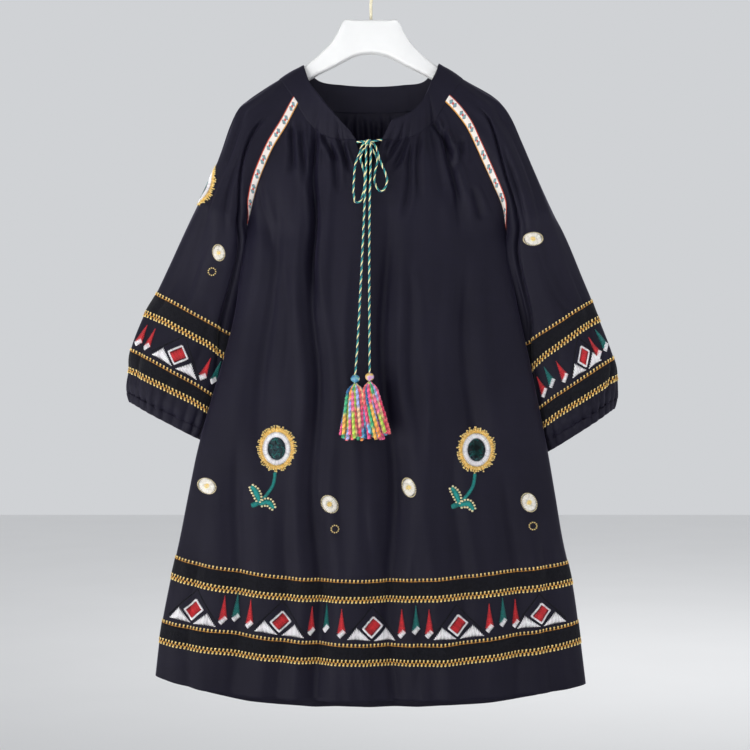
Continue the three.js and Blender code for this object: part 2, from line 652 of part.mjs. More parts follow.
// The cuff band: a tube from a seam's clearance below the sleeve's last row to its own hem.
function cuffGrid(side) {
  const top = { ...SLEEVE_ROWS.at(-1), ...SLEEVE_INNER.at(-1) };
  return [top, CUFF_HEM].map((shape, r) => {
    const outer = { x: signOf(side) * shape[side[0] + "x"], z: shape[side[0] + "z"] };
    const inner = tuckedPoint(side, shape);
    const points = [];
    for (let c = 0; c <= CUFF_COLUMNS; c += 1) {
      const angle = lerp(-Math.PI, Math.PI, c / CUFF_COLUMNS);
      const point = sectionPoint(outer, inner, shape.deep, Math.PI, angle, top.behind);
      if (r === 0) point.z -= CUFF_DROP;
      points.push(point);
    }
    return side === "left" ? points.reverse() : points;
  });
}

const sleeves = {};
for (const side of ["left", "right"]) {
  const grid = sleeveGrid(side);
  sleeves[side] = grid;
  add("sleeve_" + side, wall(grid, { welded: belowArm }), CLOTH_COLOR);
  for (const band of SLEEVE_BANDS) {
    const skin = ribbon(grid, band.from, band.to, { welded: always });
    add("sleeve_band_" + band.name + "_" + side, skin, BAND_COLOR);
  }
  const trimRows = grid.slice(0, UNDERARM).map((row) => {
    const strip = side === "left" ? row.slice(-TRIM_COLUMNS - 1) : row.slice(0, TRIM_COLUMNS + 1);
    const seam = side === "left" ? TRIM_COLUMNS : 0;
    strip[seam] = strip[seam].clone().lerp(strip[1], TRIM_INSET);
    return strip;
  });
  add("raglan_trim_" + side, wall(trimRows, { outside: 2 * SEAM + RIBBON, inside: 2 * SEAM }), TRIM_COLOR);
  add("cuff_" + side, wall(cuffGrid(side), { welded: always }), CLOTH_COLOR);
}

// ---- collar ------------------------------------------------------------------------------------

function smoothPath(points) {
  return new THREE.CatmullRomCurve3(points, false, "centripetal");
}

// Stretches of the neck seam, once round from the left front end: the top rows of the panels.
function neckSeam() {
  return [
    { from: 0, to: 1, columns: 8, points: front[0].slice(0, slitColumn + 1).reverse() },
    { from: 1, to: 2, columns: 8, points: [...sleeves.left[0]].reverse() },
    { from: 2, to: 4, columns: 12, points: [...back[0]].reverse() },
    { from: 4, to: 5, columns: 8, points: [...sleeves.right[0]].reverse() },
    { from: 5, to: 6, columns: 8, points: front[0].slice(slitColumn + 1).reverse() },
  ];
}

// The collar band: straight from the neck seam to its free edge.
function collarGrid() {
  const stations = [];
  for (const span of neckSeam()) {
    const path = smoothPath(span.points);
    const first = span.from === 0 ? 0 : 1;
    for (let c = first; c <= span.columns; c += 1) {
      const share = c / span.columns;
      const at = lerp(span.from, span.to, share);
      const edge = new THREE.Vector3(
        between(COLLAR_EDGE, "at", at, "x"),
        between(COLLAR_EDGE, "at", at, "y"),
        between(COLLAR_EDGE, "at", at, "z"),
      );
      stations.push({ seam: path.getPointAt(share), edge });
    }
  }
  const rows = [];
  for (let r = 0; r <= COLLAR_ROWS; r += 1) {
    rows.push(
      stations.map(({ seam, edge }) => {
        const lifted = seam.clone().lerp(edge, (2 * SEAM) / seam.distanceTo(edge));
        return lifted.lerp(edge, 1 - r / COLLAR_ROWS);
      }),
    );
  }
  return rows;
}

add("collar", wall(collarGrid()), CLOTH_COLOR);

// ---- hanger and hook ---------------------------------------------------------------------------

// Section of the hanger across its length: a rectangle with round corners.
function hangerSection(x, shape) {
  const radius = shape.round;
  const points = [];
  for (const [sy, sz, turn] of [[1, 1, 0], [-1, 1, 90], [-1, -1, 180], [1, -1, 270]]) {
    for (const step of [0, 45, 90]) {
      const angle = radians(turn + step);
      const y = sy * (shape.half - radius) + radius * Math.cos(angle);
      const z = (sz > 0 ? shape.top - radius : shape.low + radius) + radius * Math.sin(angle);
      points.push(new THREE.Vector3(x, y, z));
    }
  }
  return points;
}

// A closed solid through rings of the same number of points, with flat ends.
function loft(rings) {
  const count = rings[0].length;
  const faces = [];
  for (let r = 0; r + 1 < rings.length; r += 1) {
    for (let c = 0; c < count; c += 1) {
      const a = r * count + c;
      const b = r * count + ((c + 1) % count);
      faces.push(a, b, b + count, a, b + count, a + count);
    }
  }
  const end = (rings.length - 1) * count;
  for (let c = 1; c + 1 < count; c += 1) {
    faces.push(0, c + 1, c, end, end + c, end + c + 1);
  }
  const geometry = new THREE.BufferGeometry().setFromPoints(rings.flat());
  geometry.setIndex(faces);
  return geometry;
}

const mirrored = HANGER.slice(1).reverse().map((shape) => hangerSection(-shape.x, shape));
const hangerRings = [...mirrored, ...HANGER.map((shape) => hangerSection(shape.x, shape))];
add("hanger_body", loft(hangerRings), HANGER_COLOR, 0.35);

// A tube with flat ends along a path.
function tube(path, diameter, sides, steps) {
  const circle = new THREE.Shape();
  for (let i = 0; i < sides; i += 1) {
    const angle = (2 * Math.PI * i) / sides;
    const x = (diameter / 2) * Math.cos(angle);
    const y = (diameter / 2) * Math.sin(angle);
    if (i === 0) circle.moveTo(x, y);
    else circle.lineTo(x, y);
  }
  return new THREE.ExtrudeGeometry(circle, { steps, bevelEnabled: false, extrudePath: path });
}

const hookCentre = HOOK_RISE - HOOK_INSIDE;
const hookRadius = HOOK_INSIDE + WIRE / 2;
const hookPoints = HOOK_STEM.map((z) => new THREE.Vector3(0, 0, z));
hookPoints.push(new THREE.Vector3(HOOK_LEAN, 0, HOOK_BEND_Z));
for (let turn = HOOK_ARC.from; turn <= HOOK_ARC.to; turn += HOOK_ARC.step) {
  const angle = radians(turn);
  const x = hookRadius * Math.cos(angle);
  hookPoints.push(new THREE.Vector3(x, 0, hookCentre + hookRadius * Math.sin(angle)));
}
add("hanger_hook", tube(smoothPath(hookPoints), WIRE, CORD_SIDES, HOOK_STEPS), WIRE_COLOR, 0.3);

// ---- neck tie ----------------------------------------------------------------------------------

function vectors(points) {
  return points.map(([x, y, z]) => new THREE.Vector3(x, y, z));
}

// The knot, or a larger copy that cuts the cords a seam's clearance outside it.
function knotShape(clearance) {
  const shape = new THREE.SphereGeometry(1, 12, 8);
  shape.scale(KNOT.wide + clearance, KNOT.deep + clearance, KNOT.tall + clearance);
  shape.translate(KNOT.x, KNOT.y, KNOT.z);
  return shape;
}

add("tie_knot", knotShape(0), TIE_COLOR, 0.7);
const knotRoom = solidOf(knotShape(1.5 * SEAM));
for (const cord of CORDS) {
  const path = smoothPath(vectors(cord.points));
  const steps = Math.max(3, Math.round(path.getLength() / CORD_STEP));
  const whole = solidOf(tube(path, CORD, CORD_SIDES, steps));
  add(cord.name, geometryOf(whole.subtract(knotRoom)), TIE_COLOR, 0.7);
}

// One strand of a tassel, three-sided, that leans out from the head to its tip.
function strand(tassel, ring, turn) {
  const way = new THREE.Vector3(Math.cos(turn), Math.sin(turn), 0);
  const head = TASSEL_HEAD.radius * STRAND.inward * ring.share;
  const root = tassel.top - TASSEL_HEAD.tall * STRAND.down;
  const tip = tassel.bottom + STRAND.shorter * (1 - ring.share) + STRAND.uneven * Math.sin(5 * turn);
  const rings = [];
  for (let step = 0; step <= STRAND.bends; step += 1) {
    const share = step / STRAND.bends;
    const out = Math.sqrt(share);
    const x = tassel.x + tassel.lean * out + way.x * lerp(head, tassel.spread * ring.share, out);
    const y = tassel.y + way.y * lerp(head, STRAND.depth * ring.share, out);
    const z = lerp(root, tip, share);
    const radius = lerp(STRAND.root, STRAND.tip, share);
    const corners = [0, 120, 240].map((deg) => {
      const angle = turn + radians(deg);
      return new THREE.Vector3(x + radius * Math.cos(angle), y + radius * Math.sin(angle), z);
    });
    rings.push(corners.reverse());
  }
  return loft(rings);
}

for (const tassel of TASSELS) {
  const bead = new THREE.SphereGeometry(BEAD_RADIUS, 12, 8);
  bead.translate(tassel.x, tassel.y, tassel.bead);
  add("bead_" + tassel.side, bead, BEAD_COLOR, 0.4);
  const head = new THREE.LatheGeometry(
    [
      new THREE.Vector2(0, -TASSEL_HEAD.tall),
      new THREE.Vector2(TASSEL_HEAD.radius, -TASSEL_HEAD.tall),
      new THREE.Vector2(TASSEL_HEAD.radius, -TASSEL_HEAD.tall * TASSEL_HEAD.shoulder),
      new THREE.Vector2(TASSEL_HEAD.radius * TASSEL_HEAD.neck, 0),
      new THREE.Vector2(0, 0),
    ],
    12,
  );
  head.rotateX(Math.PI / 2);
  head.scale(1, TASSEL_HEAD.flat, 1);
  head.translate(tassel.x, tassel.y, tassel.top);
  let solid = solidOf(head);
  for (const ring of TASSEL_RINGS) {
    for (let i = 0; i < ring.strands; i += 1) {
      const turn = (2 * Math.PI * (i + 0.5 * ring.share)) / ring.strands;
      solid = solid.add(solidOf(strand(tassel, ring, turn)));
    }
  }
  add("tassel_" + tassel.side, geometryOf(solid), TASSEL_COLOR, 0.9);
}

export default garment;
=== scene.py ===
"""An embroidered raglan tunic blouse that hangs on a contoured hanger.

Tables and shapes are in millimetres: x to the right of somebody who faces the front, -y towards
them, and heights from the flat top of the hanger. Meshes are written in metres in the part's
frame, whose origin is the inside top of the hanger's hook.
"""

import math
from functools import partial

import bpy
import numpy as np
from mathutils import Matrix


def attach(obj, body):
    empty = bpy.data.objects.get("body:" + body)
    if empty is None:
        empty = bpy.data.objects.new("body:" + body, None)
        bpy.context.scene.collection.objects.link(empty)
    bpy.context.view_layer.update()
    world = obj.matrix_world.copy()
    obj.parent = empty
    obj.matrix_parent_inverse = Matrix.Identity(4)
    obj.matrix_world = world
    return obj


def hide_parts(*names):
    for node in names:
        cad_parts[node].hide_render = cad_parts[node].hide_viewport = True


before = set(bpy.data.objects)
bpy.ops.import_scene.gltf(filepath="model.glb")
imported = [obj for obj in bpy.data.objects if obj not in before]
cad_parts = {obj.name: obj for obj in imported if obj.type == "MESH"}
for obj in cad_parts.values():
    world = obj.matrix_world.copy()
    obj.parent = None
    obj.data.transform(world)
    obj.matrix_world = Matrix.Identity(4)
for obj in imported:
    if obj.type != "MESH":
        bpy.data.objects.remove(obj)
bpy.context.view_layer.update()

# ---- sizes -------------------------------------------------------------------------------------

HOOK_RISE = 75  # hook's inside top above the hanger's flat top
CLOTH = 1.2
SEAM = 0.3
CENTRE = -3  # centre front and centre back line
UNDERARM = 8  # row at which the raglan seams end
HEM_ROW = 20
CUFF_ROW = 16
BACK_NECK_IN = 13
BACK_NECK_UP = 8
SLIT_END = 4
SIGN = {"left": -1, "right": 1}  # also which way a sleeve's grid faces
METRES = 0.001  # in a millimetre
ALMOST = 1e-6

FRAME_PIXELS = 750
PHOTO_MM = 1.35  # millimetres of the picture plane to a pixel of the frame
CAMERA_BACK = 2400
CAMERA_X = 5.4
CAMERA_Z = -553
SENSOR = 36


def table(names, text):
    """Columns of numbers by name, from lines of text."""
    rows = [[float(value) for value in line.split()] for line in text.strip().splitlines()]
    return dict(zip(names.split(), np.array(rows).T))


# Half width of the body at a height.
EDGE = table("z left right", """
    -105 91 90
    -115 97 101
    -144 112 125
    -175 131 141
    -200 142.5 152.5
    -224 152 164
    -249 159.5 175.5
    -280 168.5 182.5
    -340 176.5 189.5
    -400 185.2 201
    -460 200.5 214.5
    -520 218.5 226.7
    -580 234.5 238.6
    -640 246.8 248.9
    -700 258.6 259
    -760 272 272.3
    -820 283.4 281
    -895 292.5 290.3
""")
# Rows of the body, neck to hem: heights at its edges and centres, flatness of the sag, half depth
# in front and behind, fullness beside the seam.
BODY = table("left right front back sag deep rear full", """
    -115 -113 -164 -119 4.0 36 28 1.0
    -129 -122 -176 -134 3.8 37 30 0.96
    -144 -136 -189 -151 3.6 38 32 0.9
    -160 -153 -204 -170 3.4 39 34 0.84
    -177 -172 -223 -190 3.2 40 36 0.78
    -200 -196 -242 -214 3.0 41 38 0.7
    -224 -224 -264 -240 3.0 42 39 0.63
    -249 -253 -285 -265 3.0 42.5 40 0.57
    -275 -283 -305 -292 3.0 43 41 0.52
    -330 -336 -352 -345 3.0 43.5 42 0.5
    -390 -394 -408 -405 3.0 44 43 0.5
    -450 -453 -468 -468 3.0 45 44 0.5
    -510 -513 -530 -534 3.0 46 45 0.5
    -570 -574 -594 -602 3.0 47 46 0.5
    -630 -635 -655 -668 3.0 48 47 0.5
    -685 -692 -712 -727 3.0 49 48 0.5
    -723 -732 -751 -767 3.0 49.5 48.5 0.5
    -749 -758 -776 -792 3.0 50 49 0.5
    -810 -814 -835 -851 3.0 50.5 49.5 0.5
    -836 -840 -862 -878 3.0 51 50 0.5
    -883 -894 -910 -935 3.0 52 51 0.5
""")
SLIT = table("left right", """
    -20.5 15
    -17 10.5
    -12.5 6
    -8 1.5
    -4 -2
""")
# Rows of a sleeve, neck to cuff: outer line on each side, half depth, reach of its section in
# degrees.
SLEEVE = table("lx lz rx rz deep reach", """
    121.5 -78 121.5 -77 22 90
    136 -87 136 -85.9 23 94
    151 -97 151 -94.6 24 99
    166 -107.5 164.5 -103.2 25 106
    179.6 -119 177 -113.6 26 115
    191 -143 190.5 -133 28 126
    202 -174 204 -164 30 140
    216 -209 223 -209 31 158
    232.7 -246 243 -255 32 180
    246 -273.5 257 -284 33 180
    275.5 -335 283 -344 34 180
    291.5 -368.5 299 -379 34 180
    307 -395 309.5 -402 34 180
    327 -446 330.5 -457 35 180
    329 -471 333.5 -481 35 180
    330.5 -489 333 -498 33 180
    328 -501 330.5 -509 26 180
""")
# The rows below the underarm: height of the inner line, set back, tuck behind the body's edge.
INNER = table("li ri behind tuck", """
    -312 -322 9 9
    -388 -400 23 4
    -424 -437 26 6
    -450 -468 26 7
    -505 -523 26 8
    -527 -549 26 8
    -544 -562 26 7
    -553 -570 26 4
""")
# Free edge of the cuffs: outer line and inner line on each side, half depth and tuck.
CUFF_HEM = {
    "lx": 328, "lz": -514.5, "rx": 330.5, "rz": -523.5, "li": -568, "ri": -585, "deep": 24.5, "tuck": 3,
}
CUFF_DROP = 1  # how far the cuff's seam lies below the sleeve's last row

# Free edge of the collar band by the share of the way round the neck.
COLLAR = table("at x y z", """
    0 -26.5 -37.5 -154.5
    0.25 -41 -37 -138.5
    0.5 -56 -33 -121
    0.75 -70 -28 -103
    1 -82 -20 -85.5
    1.25 -88 -12.5 -70
    1.375 -90 -9.8 -63.5
    1.5 -90.5 0 -60.5
    1.625 -89 9.8 -62
    1.75 -84 13.5 -67.5
    2 -72 20 -77
    2.5 -38 25.5 -82.5
    3 3 27 -84.5
    3.5 43 25.5 -82.5
    4 74 20 -77
    4.25 85 13.5 -65
    4.375 89.5 9.8 -60.5
    4.5 91 0 -58.5
    4.625 90.5 -9.8 -61.5
    4.75 88.5 -12.5 -68
    5 82 -20 -82
    5.25 73.5 -27 -102.5
    5.5 60 -32 -121.5
    5.75 44 -36 -132.5
    6 27 -38 -139.5
""")
# Hanger: top and bottom of its outline, half thickness, corner radius.
HANGER = table("x top low half round", """
    0 0 -44 12 4
    12 0 -45 12 4
    25 0 -49 12 4
    35 0 -54 12 4
    37 -1.5 -55 12 4
    44 -15.5 -59 12 4
    52 -28.5 -63 11.5 4
    66 -43 -70 10.5 4.5
    80 -55 -78 9 5
    92 -63.5 -85 8 5.5
    120 -79.9 -100 8 6
    145 -95.4 -114 7.5 6
    160 -105.5 -122 7 5.5
    169 -113.3 -127 5.5 4.5
""")

# Lines across the panels at even steps from seam to seam on which the gold edges are sewn: the
# comb and zigzag of the upper band, then those of the lower one.
HEM_LINES = (
    (16.06, 15.93, 16.02, 16.06, 16.01, 15.88, 16.0),
    (16.98, 16.92, 16.96, 16.98, 16.96, 16.87, 16.94),
    (18.02, 17.88, 17.98, 18.07, 18.08, 17.95, 17.95),
    (18.96, 18.72, 18.83, 18.9, 18.94, 18.82, 18.85),
)
SLEEVE_LINES = (
    (11.2, 11.07, 11.03, 11.04, 11.03, 11.07, 11.2),
    (12.25, 12.0, 11.94, 12.0, 11.94, 12.0, 12.25),
    (13.32, 13.06, 12.98, 12.98, 12.98, 13.06, 13.32),
    (14.35, 13.97, 13.95, 13.98, 13.95, 13.97, 14.35),
)

# Creases of the body: top and bottom end in the picture plane, half width, depth (below 0: ridge).
FRONT_CREASES = table("x0 z0 x1 z1 half depth", """
    -78 -150 -70 -930 17 9.45
    17 -250 32 -930 22 12.2
    126 -330 141 -620 22 8.1
    84 -125 97 -260 13 5.4
    92 -146 124 -300 12 5.4
    -128 -230 -150 -640 24 6.75
    70 -420 96 -940 30 -6.75
    -28 -300 -22 -940 26 -5.4
    -170 -560 -190 -940 26 6.75
    180 -600 200 -940 26 6.75
    -76 -138 -77 -400 7 8
    94 -136 120 -262 6 5.6
    57 -154 43 -280 6 4.4
    -66 -152 -46 -196 5 5.1
    -58 -154 -40 -240 6 3.74
    -47 -156 -24 -212 5 4.76
    -38 -156 -30 -200 4 2.72
    -92 -142 -88 -232 6 4.42
    -105 -136 -106 -215 6 4.08
    53 -154 26 -212 6 4.76
    40 -156 20 -196 5 4.08
    66 -150 60 -250 6 3.4
    28 -158 12 -206 4 3.06
    84 -134 110 -196 6 5.78
    94 -150 118 -214 6 4.42
    120 -160 118 -204 7 4.08
    135 -228 152 -272 8 4.08
    -150 -210 -132 -330 9 2.7
    -112 -330 -116 -520 12 2.16
    48 -330 62 -560 12 3.24
    -60 -520 -64 -760 14 2.43
    110 -560 128 -900 14 3.24
    -110 -640 -122 -930 15 3.51
    -8 -640 4 -930 12 2.43
    226 -690 246 -930 14 3.51
    -232 -700 -250 -930 14 3.24
    60 -700 62 -930 10 2.43
""")
BACK_CREASES = table("x0 z0 x1 z1 half depth", """
    -60 -130 -84 -950 22 7.6
    44 -140 62 -950 22 7.6
    -8 -260 -4 -950 26 5.7
    -120 -260 -176 -950 26 6.65
    118 -270 160 -950 26 6.65
    24 -420 30 -950 24 -3.8
    -44 -420 -48 -950 24 -3.8
    -30 -126 -34 -230 7 3.9
    -17 -124 -18 -250 6 4.16
    -4 -124 -3 -210 6 4.16
    9 -124 11 -260 6 4.42
    22 -125 25 -220 6 3.9
    34 -126 40 -200 6 3.12
    -46 -128 -54 -210 7 3.64
    52 -130 62 -230 7 3.38
    -74 -122 -92 -240 8 3.12
    76 -122 98 -250 8 3.38
    -100 -420 -124 -700 14 2.28
    88 -400 104 -760 14 2.47
    -206 -640 -226 -950 15 2.47
    204 -640 226 -950 15 2.66
    0 -640 4 -950 14 1.9
""")
# Creases of a sleeve: place round it (degrees from the outer line, below 0 in front), rows from
# and to, half width in degrees, depth.
SLEEVE_CREASES = table("turn0 turn1 from to half depth", """
    -62 -62 3 11 32 4
    -18 -18 8 14 36 -3
    70 70 4 12 36 5
    120 120 8 14 36 -3
    -112 -96 5 9 15 4.0
    -128 -132 6.5 10 13 3.4
    -84 -60 8.5 12 12 2.2
    -40 -46 9 13.5 13 2.2
    -146 -140 8.6 12 14 3.0
    -104 -112 10 14 12 2.0
    150 142 8.6 12.5 14 3.0
    98 112 7 11 15 3.2
    44 38 9 13.5 14 2.2
    -24 -10 4 8 14 1.6
    -112 -146 2.5 13 8 6.5
    -30 -50 12 15.5 9 2.4
    -100 -84 12.2 15.5 8 2.4
    20 26 5 9 14 1.8
""")

# ---- curves and grids --------------------------------------------------------------------------


def through(keys, values, at):
    """Smooth curve through a table: cubic pieces whose slope at a key is that of the parabola
    through it and its neighbours."""
    keys = np.asarray(keys, float)
    values = np.asarray(values, float)
    slopes = np.gradient(values, keys)
    at = np.clip(at, keys[0], keys[-1])
    i = np.clip(np.searchsorted(keys, at, side="right") - 1, 0, len(keys) - 2)
    gap = keys[i + 1] - keys[i]
    f = (at - keys[i]) / gap
    start = (2 * f**3 - 3 * f**2 + 1) * values[i] + (f**3 - 2 * f**2 + f) * gap * slopes[i]
    return start + (3 * f**2 - 2 * f**3) * values[i + 1] + (f**3 - f**2) * gap * slopes[i + 1]


def rows(values, t):
    """A table's column at a row number that need not be whole."""
    return through(np.arange(len(values)), values, t)


def bump(distance, half):
    """Half a cosine: 1 in the middle, 0 from the given distance on."""
    return np.where(np.abs(distance) < half, 0.5 + 0.5 * np.cos(np.pi * distance / half), 0)


def fade(value, start, end, run):
    """0 before the start, rising to 1 over a run, and falling to 0 at the end, with soft ends."""
    f = np.clip(np.minimum((value - start) / run, (end - value) / run), 0, 1)
    return f * f * (3 - 2 * f)


def ripple(x, y, seed):
    """Uneven soft waves between -1 and 1: three sines of different length and direction."""
    a = np.sin(x + 1.7 * np.sin(0.53 * y + seed) + 2.1 * seed)
    b = np.sin(0.61 * x - 0.4 * y + 3.3 * seed)
    return 0.5 * a + 0.3 * b + 0.2 * np.sin(1.9 * x + 0.7 * y + seed * seed)


def lengths(path):
    """Distance gone along a path at each of its points."""
    return np.append(0, np.cumsum(np.linalg.norm(np.diff(path, axis=0), axis=1)))


def along_path(path, distances):
    """Points at distances along a path, linear between its own."""
    gone = lengths(path)
    return np.stack([np.interp(distances, gone, column) for column in path.T], axis=1)


def edge_of(side, face, t):
    """Edge of the body in the picture plane at a row: the raglan seam, then the side seam."""
    z = rows(BODY[side], t)
    shift = np.clip(1 - t / UNDERARM, 0, 1) if face == "back" else 0 * t
    x = through(-EDGE["z"], EDGE[side], -z) - shift * BACK_NECK_IN
    return SIGN[side] * x, z + shift * BACK_NECK_UP


def reach_of(t):
    """Angle from a sleeve's outer line to the ends of its section: 180 degrees closes it."""
    return np.radians(np.minimum(rows(SLEEVE["reach"], t), 180))


def seam_depth(t):
    """Half depth at a raglan seam: where the sleeve's section, deep * sin(angle), ends."""
    return rows(SLEEVE["deep"], t) * np.sin(reach_of(t)) * (t < UNDERARM)


def body_line(face, u, t):
    """Point of a body row in the picture plane. x runs from the centre line, or the slit's edge,
    to the seam with |u|; z is the centre's height plus the edge's rise times share ** sag."""
    left = edge_of("left", face, t)
    right = edge_of("right", face, t)
    edge_x = np.where(u < 0, left[0] + SEAM / 2, right[0] - SEAM / 2)
    edge_z = np.where(u < 0, left[1], right[1])
    start = CENTRE + 0 * t
    if face == "front":
        open_rows = np.clip(t, 0, SLIT_END)
        slit = np.where(u < 0, rows(SLIT["left"], open_rows), rows(SLIT["right"], open_rows))
        start = np.where(t < SLIT_END, slit, CENTRE + np.sign(u))
    x = start + (edge_x - start) * np.abs(u)
    share = np.clip(np.abs((x - CENTRE) / (edge_x - CENTRE)), 0, 1)
    middle = rows(BODY[face], t)
    return x, middle + (edge_z - middle) * share ** rows(BODY["sag"], t), share


def body_point(face, u, t):
    """The body before its folds: depth is the seam's, plus the rest of the half depth times
    (1 - share ** 2.2) ** full."""
    x, z, share = body_line(face, u, t)
    deepest = rows(BODY["deep" if face == "front" else "rear"], t)
    shallow = seam_depth(t)
    depth = shallow + (deepest - shallow) * (1 - share**2.2) ** rows(BODY["full"], t)
    y = np.maximum(depth, SEAM / 2) * (-1 if face == "front" else 1)
    return np.stack([x, y, z], axis=-1)


def inner_of(side, face, t):
    """Inner line of a sleeve: the body's edge down to the underarm, then behind it."""
    low = np.arange(UNDERARM, CUFF_ROW + 1)
    edge_x, edge_z = edge_of(side, face, np.minimum(t, UNDERARM))
    heights = np.append(rows(BODY[side], UNDERARM), INNER["li" if side == "left" else "ri"])
    tucks = np.append(0, INNER["tuck"])
    below = np.clip(t, UNDERARM, CUFF_ROW)
    z = through(low, heights, below)
    x = SIGN[side] * (through(-EDGE["z"], EDGE[side], -z) - through(low, tucks, below))
    x = np.where(t <= UNDERARM, edge_x, x) + SIGN[side] * SEAM / 2
    return x, np.where(t <= UNDERARM, edge_z, z)


def outer_of(side, t):
    """Outer line of a sleeve in the picture plane, from its table."""
    key = side[0]
    return SIGN[side] * rows(SLEEVE[key + "x"], t), rows(SLEEVE[key + "z"], t)


def set_back(t):
    """How far behind the body a sleeve's section lies: nothing down to the underarm."""
    low = np.arange(UNDERARM, CUFF_ROW + 1)
    return through(low, np.append(0, INNER["behind"]), np.clip(t, UNDERARM, CUFF_ROW))


def sleeve_point(side, v, t):
    """A sleeve before its folds. At the angle a = v * reach from the outer line, the share
    (1 - cos a) / (1 - cos reach) of the way to the inner line, deep * sin a behind it."""
    reach = reach_of(t)
    angle = v * reach
    share = (1 - np.cos(angle)) / (1 - np.cos(reach))
    outer = outer_of(side, t)
    front = inner_of(side, "front", t)
    rear = inner_of(side, "back", t)
    inner_x = np.where(v < 0, front[0], rear[0])
    inner_z = np.where(v < 0, front[1], rear[1])
    x = outer[0] + (inner_x - outer[0]) * share
    z = outer[1] + (inner_z - outer[1]) * share
    y = set_back(t) + rows(SLEEVE["deep"], t) * np.sin(angle)
    return np.stack([x, y, z], axis=-1)


def facing_out(points, facing, welded=None):
    """Unit normals of a grid: the cross product of its steps down and across. Rows that are
    welded share their first and last column's normal."""
    down = np.gradient(points, axis=0)
    across = np.gradient(points, axis=1)
    if welded is not None:
        turn = (points[:, 1] - points[:, -2]) / 2
        across[welded, 0] = turn[welded]
        across[welded, -1] = turn[welded]
    n = np.cross(down, across) * facing
    return n / np.maximum(np.linalg.norm(n, axis=-1, keepdims=True), 1e-9)


class Cloth:
    """A panel of cloth as a grid of points with its outward normals, by column u and row t."""

    def __init__(self, shape, height, u, t, facing, welded=None):
        """The shape's points, each moved by a height along the shape's own normal there."""
        across, down = np.meshgrid(u, t)
        base = shape(across, down)
        lift = height(across, down, base)[..., None]
        self.u, self.t = u, t
        self.hold(base + facing_out(base, facing, welded) * lift, facing, welded)

    def hold(self, points, facing, welded=None):
        """Keep points that are in place, and their normals."""
        self.points, self.facing, self.welded = points, facing, welded
        self.normals = facing_out(points, facing, welded)
        return self

    def at(self, u, t, lift=0.0):
        """Point at a column and row, lifted along the normal: linear between the grid's own."""
        c = np.interp(u, self.u, np.arange(len(self.u)))
        r = np.interp(t, self.t, np.arange(len(self.t)))
        i = np.clip(r.astype(int), 0, len(self.t) - 2)
        j = np.clip(c.astype(int), 0, len(self.u) - 2)
        f = (r - i)[..., None]
        g = (c - j)[..., None]
        found = []
        for grid in (self.points, self.normals):
            top = grid[i, j] * (1 - g) + grid[i, j + 1] * g
            low = grid[i + 1, j] * (1 - g) + grid[i + 1, j + 1] * g
            found.append(top * (1 - f) + low * f)
        return found[0] + found[1] * np.asarray(lift)[..., None]

    def along(self, *line):
        """Place for shapes on a line across the panel, its rows given at even steps of u: q is
        (millimetres along it from the panel's middle, upwards from it). Lengths are summed along
        the line and down the panel, and turned round to find the column and row."""
        fine = np.linspace(self.u[0], self.u[-1], 600)
        line = np.interp(fine, np.linspace(self.u[0], self.u[-1], len(line)), line)
        points = self.at(fine, line)
        length = lengths(points)
        length -= np.interp(0, fine, length)
        near = np.linspace(line.min() - 3, min(line.max() + 1, self.t[-1]), 80)
        columns = self.at(*np.meshgrid(fine, near))
        deep = np.cumsum(np.linalg.norm(np.diff(columns, axis=0), axis=2), axis=0)
        deep = np.concatenate([np.zeros((1, len(fine))), deep])
        stretch = deep[-1] / deep[-1].mean()
        deep = deep.mean(axis=1)
        level = np.interp(line, near, deep)

        def place(q, lift):
            u = np.interp(q[..., 0], length, fine)
            down = np.interp(u, fine, level) - q[..., 1] / np.interp(u, fine, stretch)
            return self.at(u, np.interp(down, deep, near), lift)

        place.low, place.high = length[0], length[-1]
        return place

    def between(self, upper, lower, steps):
        """Part of a panel between two lines across it, as a panel of its own."""
        even = np.linspace(self.u[0], self.u[-1], len(upper))
        first, last = np.interp(self.u, even, upper), np.interp(self.u, even, lower)
        share = np.linspace(0, 1, steps + 1)[:, None]
        columns = np.broadcast_to(self.u, (steps + 1, len(self.u)))
        points = self.at(columns, first + (last - first) * share)
        welded = None if self.welded is None else np.ones(steps + 1, bool)
        return Cloth.__new__(Cloth).hold(points, self.facing, welded)


# ---- meshes ------------------------------------------------------------------------------------


def grid_faces(ids, facing):
    """Quads of a grid of vertex numbers, wound so that they face outwards."""
    quads = np.stack([ids[:-1, :-1], ids[1:, :-1], ids[1:, 1:], ids[:-1, 1:]], axis=-1)
    return quads.reshape(-1, 4)[:, ::facing]


def tube_faces(rings, columns, facing):
    """Quads round a tube of rings, and a face that closes it at each end."""
    ids = np.arange(rings * columns).reshape(rings, columns)
    ends = np.stack([ids[0], ids[-1, ::-1]])
    ids = np.concatenate([ids, ids[:, :1]], axis=1)
    return [grid_faces(ids, facing), ends[:, ::facing]]


def closed_wall(quads, count):
    """Faces of a wall whose inner points follow its outer ones: the quads outside, the same
    reversed inside, and a rim quad at each edge that has a quad on one side only."""
    a = quads.ravel()
    b = np.roll(quads, -1, axis=1).ravel()
    lone = ~np.isin(a * count + b, b * count + a)
    rim = np.stack([b[lone], a[lone], a[lone] + count, b[lone] + count], axis=1)
    return np.concatenate([quads, quads[:, ::-1] + count, rim])


def in_metres(points):
    """Points of the part's frame, in metres from the inside top of the hook."""
    return (points + (0, 0, -HOOK_RISE)) * METRES


